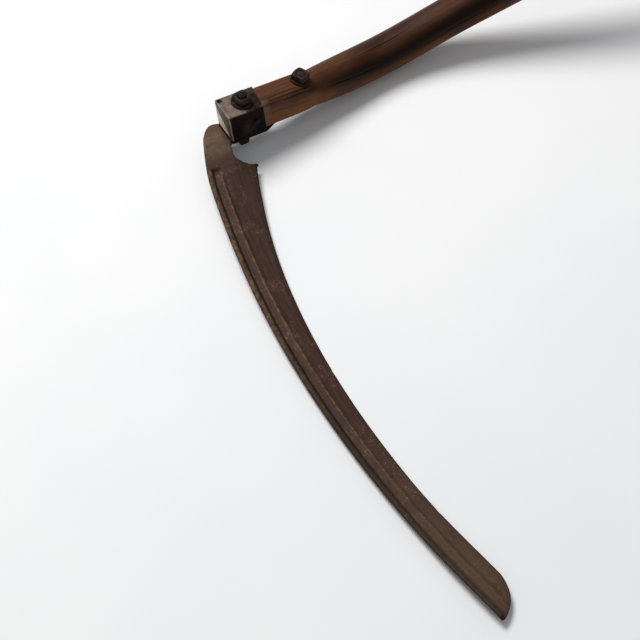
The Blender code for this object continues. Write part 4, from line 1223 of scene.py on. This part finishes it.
def finish_cad_node(node, material_slot, edge, look=None):
    node.data.materials.clear()
    node.data.materials.append(MATERIALS[look or material_slot])
    modifier = node.modifiers.new("worn_edges", "BEVEL")
    modifier.width = edge
    modifier.segments = 3
    modifier.limit_method = "ANGLE"
    modifier.angle_limit = math.radians(30)
    modifier.harden_normals = True


# ---------------------------------------------------------------- nibs

STRAP_CLEARANCE = 0.8 * MM
STRAP_THICKNESS = 3.0 * MM
STRAP_HALF_WIDTH = 6.0 * MM
ROD_RADIUS = 4.0 * MM
SADDLE_RISE = 11.0 * MM
COLLAR_LENGTH = 9.0 * MM
GRIP_LENGTH = 112.0 * MM
GRIP_RADIUS = 16.5 * MM
SPIGOT_RADIUS = 0.74 * GRIP_RADIUS   # the end of the wood, inside its collar
COLLAR_THICKNESS = 1.6 * MM
GRIP_WEAR = 0.18 * MM
GRIP_CHECK_AT = 100                  # degrees round the rod
FOOT_CLEARANCE = 1.5 * MM
END_WASHER_RADIUS = 10.0 * MM
END_WASHER_THICKNESS = 1.5 * MM
END_NUT_ACROSS = 13.0 * MM
END_NUT_HEIGHT = 7.0 * MM
# Along the grip (0 to 1), and the share of its full radius there.
GRIP_SWELL = (
    (0.0, 0.86), (0.05, 0.875), (0.12, 0.90), (0.22, 0.955), (0.35, 0.995), (0.48, 0.99), (0.6, 0.965),
    (0.7, 0.94), (0.8, 0.92), (0.88, 0.905), (0.93, 0.895), (0.96, 0.86), (0.985, 0.79), (1.0, 0.68),
)


def nib_axis(name):
    """Frame of a nib: Z along its rod, X along the wood, from its grip's hinge."""
    hinge, slide = joints[f"{name}_grip_turn"], joints[f"{name}_nib_slide"]
    upright = Vector(hinge["axis"]).normalized()
    along = Vector(slide["axis"]).normalized()
    return frame_at(Vector(hinge["pos_m"]), along, upright.cross(along), upright)


def make_grip(axis, name, hole, foot, low, high):
    """Turned wooden grip, worn slightly out of round, with its own grain running along it."""
    profile = [(hole, foot), (SPIGOT_RADIUS, foot), (SPIGOT_RADIUS, low)]
    shares = np.linspace(0, 1, 46)
    swell = np.interp(shares, [part for part, _ in GRIP_SWELL], [size for _, size in GRIP_SWELL])
    profile += [(GRIP_RADIUS * size, low + (high - low) * part) for part, size in zip(shares, swell)]
    profile += [(GRIP_RADIUS * 0.5, high), (hole, high)]
    points, faces = turned(profile, 80)
    worn, marks = [], Marks()
    for p in points:
        around = math.hypot(p.x, p.y)
        shrink = GRIP_WEAR * (1 + lump(p, (45, 45, 25), 80.0)) if around > SPIGOT_RADIUS else 0.0
        worn.append(Vector((p.x * (1 - shrink / around), p.y * (1 - shrink / around), p.z)))
        off = math.degrees(math.atan2(p.y, p.x)) - GRIP_CHECK_AT - 3 * lump(p, (1, 1, 60), 2.0)
        off = abs((off + 180) % 360 - 180)
        fade = 1 - ease((p.z - low - 55 * MM) / (20 * MM))
        marks.add(grain=(p.z, p.x + 0.05, p.y), checks=max(0.0, 1 - off / 3.5) * fade, pale=0.0)
    add_piece(
        f"{name}_grip_turned", placed(axis, (worn, faces)),
        f"{name}_grip", [f"{name}_nib_grip"], "grip_wood", marks=marks)


def make_nib(name):
    axis = nib_axis(name)
    middle = axis.translation
    distance = min(LINE, key=lambda sample: (sample[1] - middle).length)[0]
    inner = station(distance)[1] + STRAP_CLEARANCE
    outer = inner + STRAP_THICKNESS
    saddle_high = outer + SADDLE_RISE
    collar_high = saddle_high + GAP + COLLAR_LENGTH
    grip_low = saddle_high + GAP + FOOT_CLEARANCE
    grip_high = grip_low + GRIP_LENGTH
    washer_high = grip_high + GAP + END_WASHER_THICKNESS
    nut_high = washer_high + GAP + END_NUT_HEIGHT
    lying = Matrix.Rotation(math.radians(90), 4, "Y")

    w = STRAP_HALF_WIDTH
    strap_profile = rounded([(inner, -w), (outer, -w), (outer, w), (inner, w)], 1.1 * MM)
    strap = placed(lying, turned(strap_profile, 96))
    rod = [(ROD_RADIUS, outer - STRAP_THICKNESS / 2), (ROD_RADIUS, nut_high + 1.2 * MM)]
    rod = stacked(rod + dome(ROD_RADIUS, nut_high + 1.4 * MM, 0.6 * MM), 48)
    add_piece(
        f"{name}_loop_forged", placed(axis, joined(strap, rod)),
        f"{name}_nib", [f"{name}_nib_loop"], "bolt_iron")
    finish_cad_node(frame["nodes"][f"{name}_nib_saddle"], "bolt_iron", 0.7 * MM)

    collar_inner, collar_outer = SPIGOT_RADIUS + GAP, SPIGOT_RADIUS + COLLAR_THICKNESS
    collar = rounded([
        (collar_inner, saddle_high + GAP), (collar_outer, saddle_high + GAP),
        (collar_outer + 0.4 * MM, collar_high - 3 * MM), (collar_outer, collar_high),
        (collar_inner, collar_high),
    ], 0.5 * MM, 4)
    add_piece(
        f"{name}_collar_turned", placed(axis, turned(collar)),
        f"{name}_grip", [f"{name}_nib_collar"], "cap_iron")

    hole = ROD_RADIUS + GAP
    make_grip(axis, name, hole, grip_low, collar_high + GAP, grip_high)

    washer = rounded([
        (hole, grip_high + GAP), (END_WASHER_RADIUS, grip_high + GAP),
        (END_WASHER_RADIUS, washer_high), (hole, washer_high),
    ], 0.6 * MM)
    add_piece(
        f"{name}_end_washer", placed(axis, turned(washer)),
        f"{name}_grip", [f"{name}_nib_washer"], "bolt_iron")
    nut = nut_skin(END_NUT_ACROSS, hole, washer_high + GAP, nut_high, 6, 30.0, 0.5 * MM)
    add_piece(f"{name}_end_nut", placed(axis, nut), f"{name}_grip", [f"{name}_nib_nut"], "bolt_iron")


# ---------------------------------------------------------------- the scene

def build_scene():
    make_snath()
    make_blade()
    make_ferrule()
    make_bolts()
    make_nails()
    make_heel_plate()
    make_nib("lower")
    make_nib("upper")
    add_floor()
    add_world()
    add_key_light()
    add_camera()
    bpy.context.scene.view_settings.view_transform = "Standard"


build_scene()
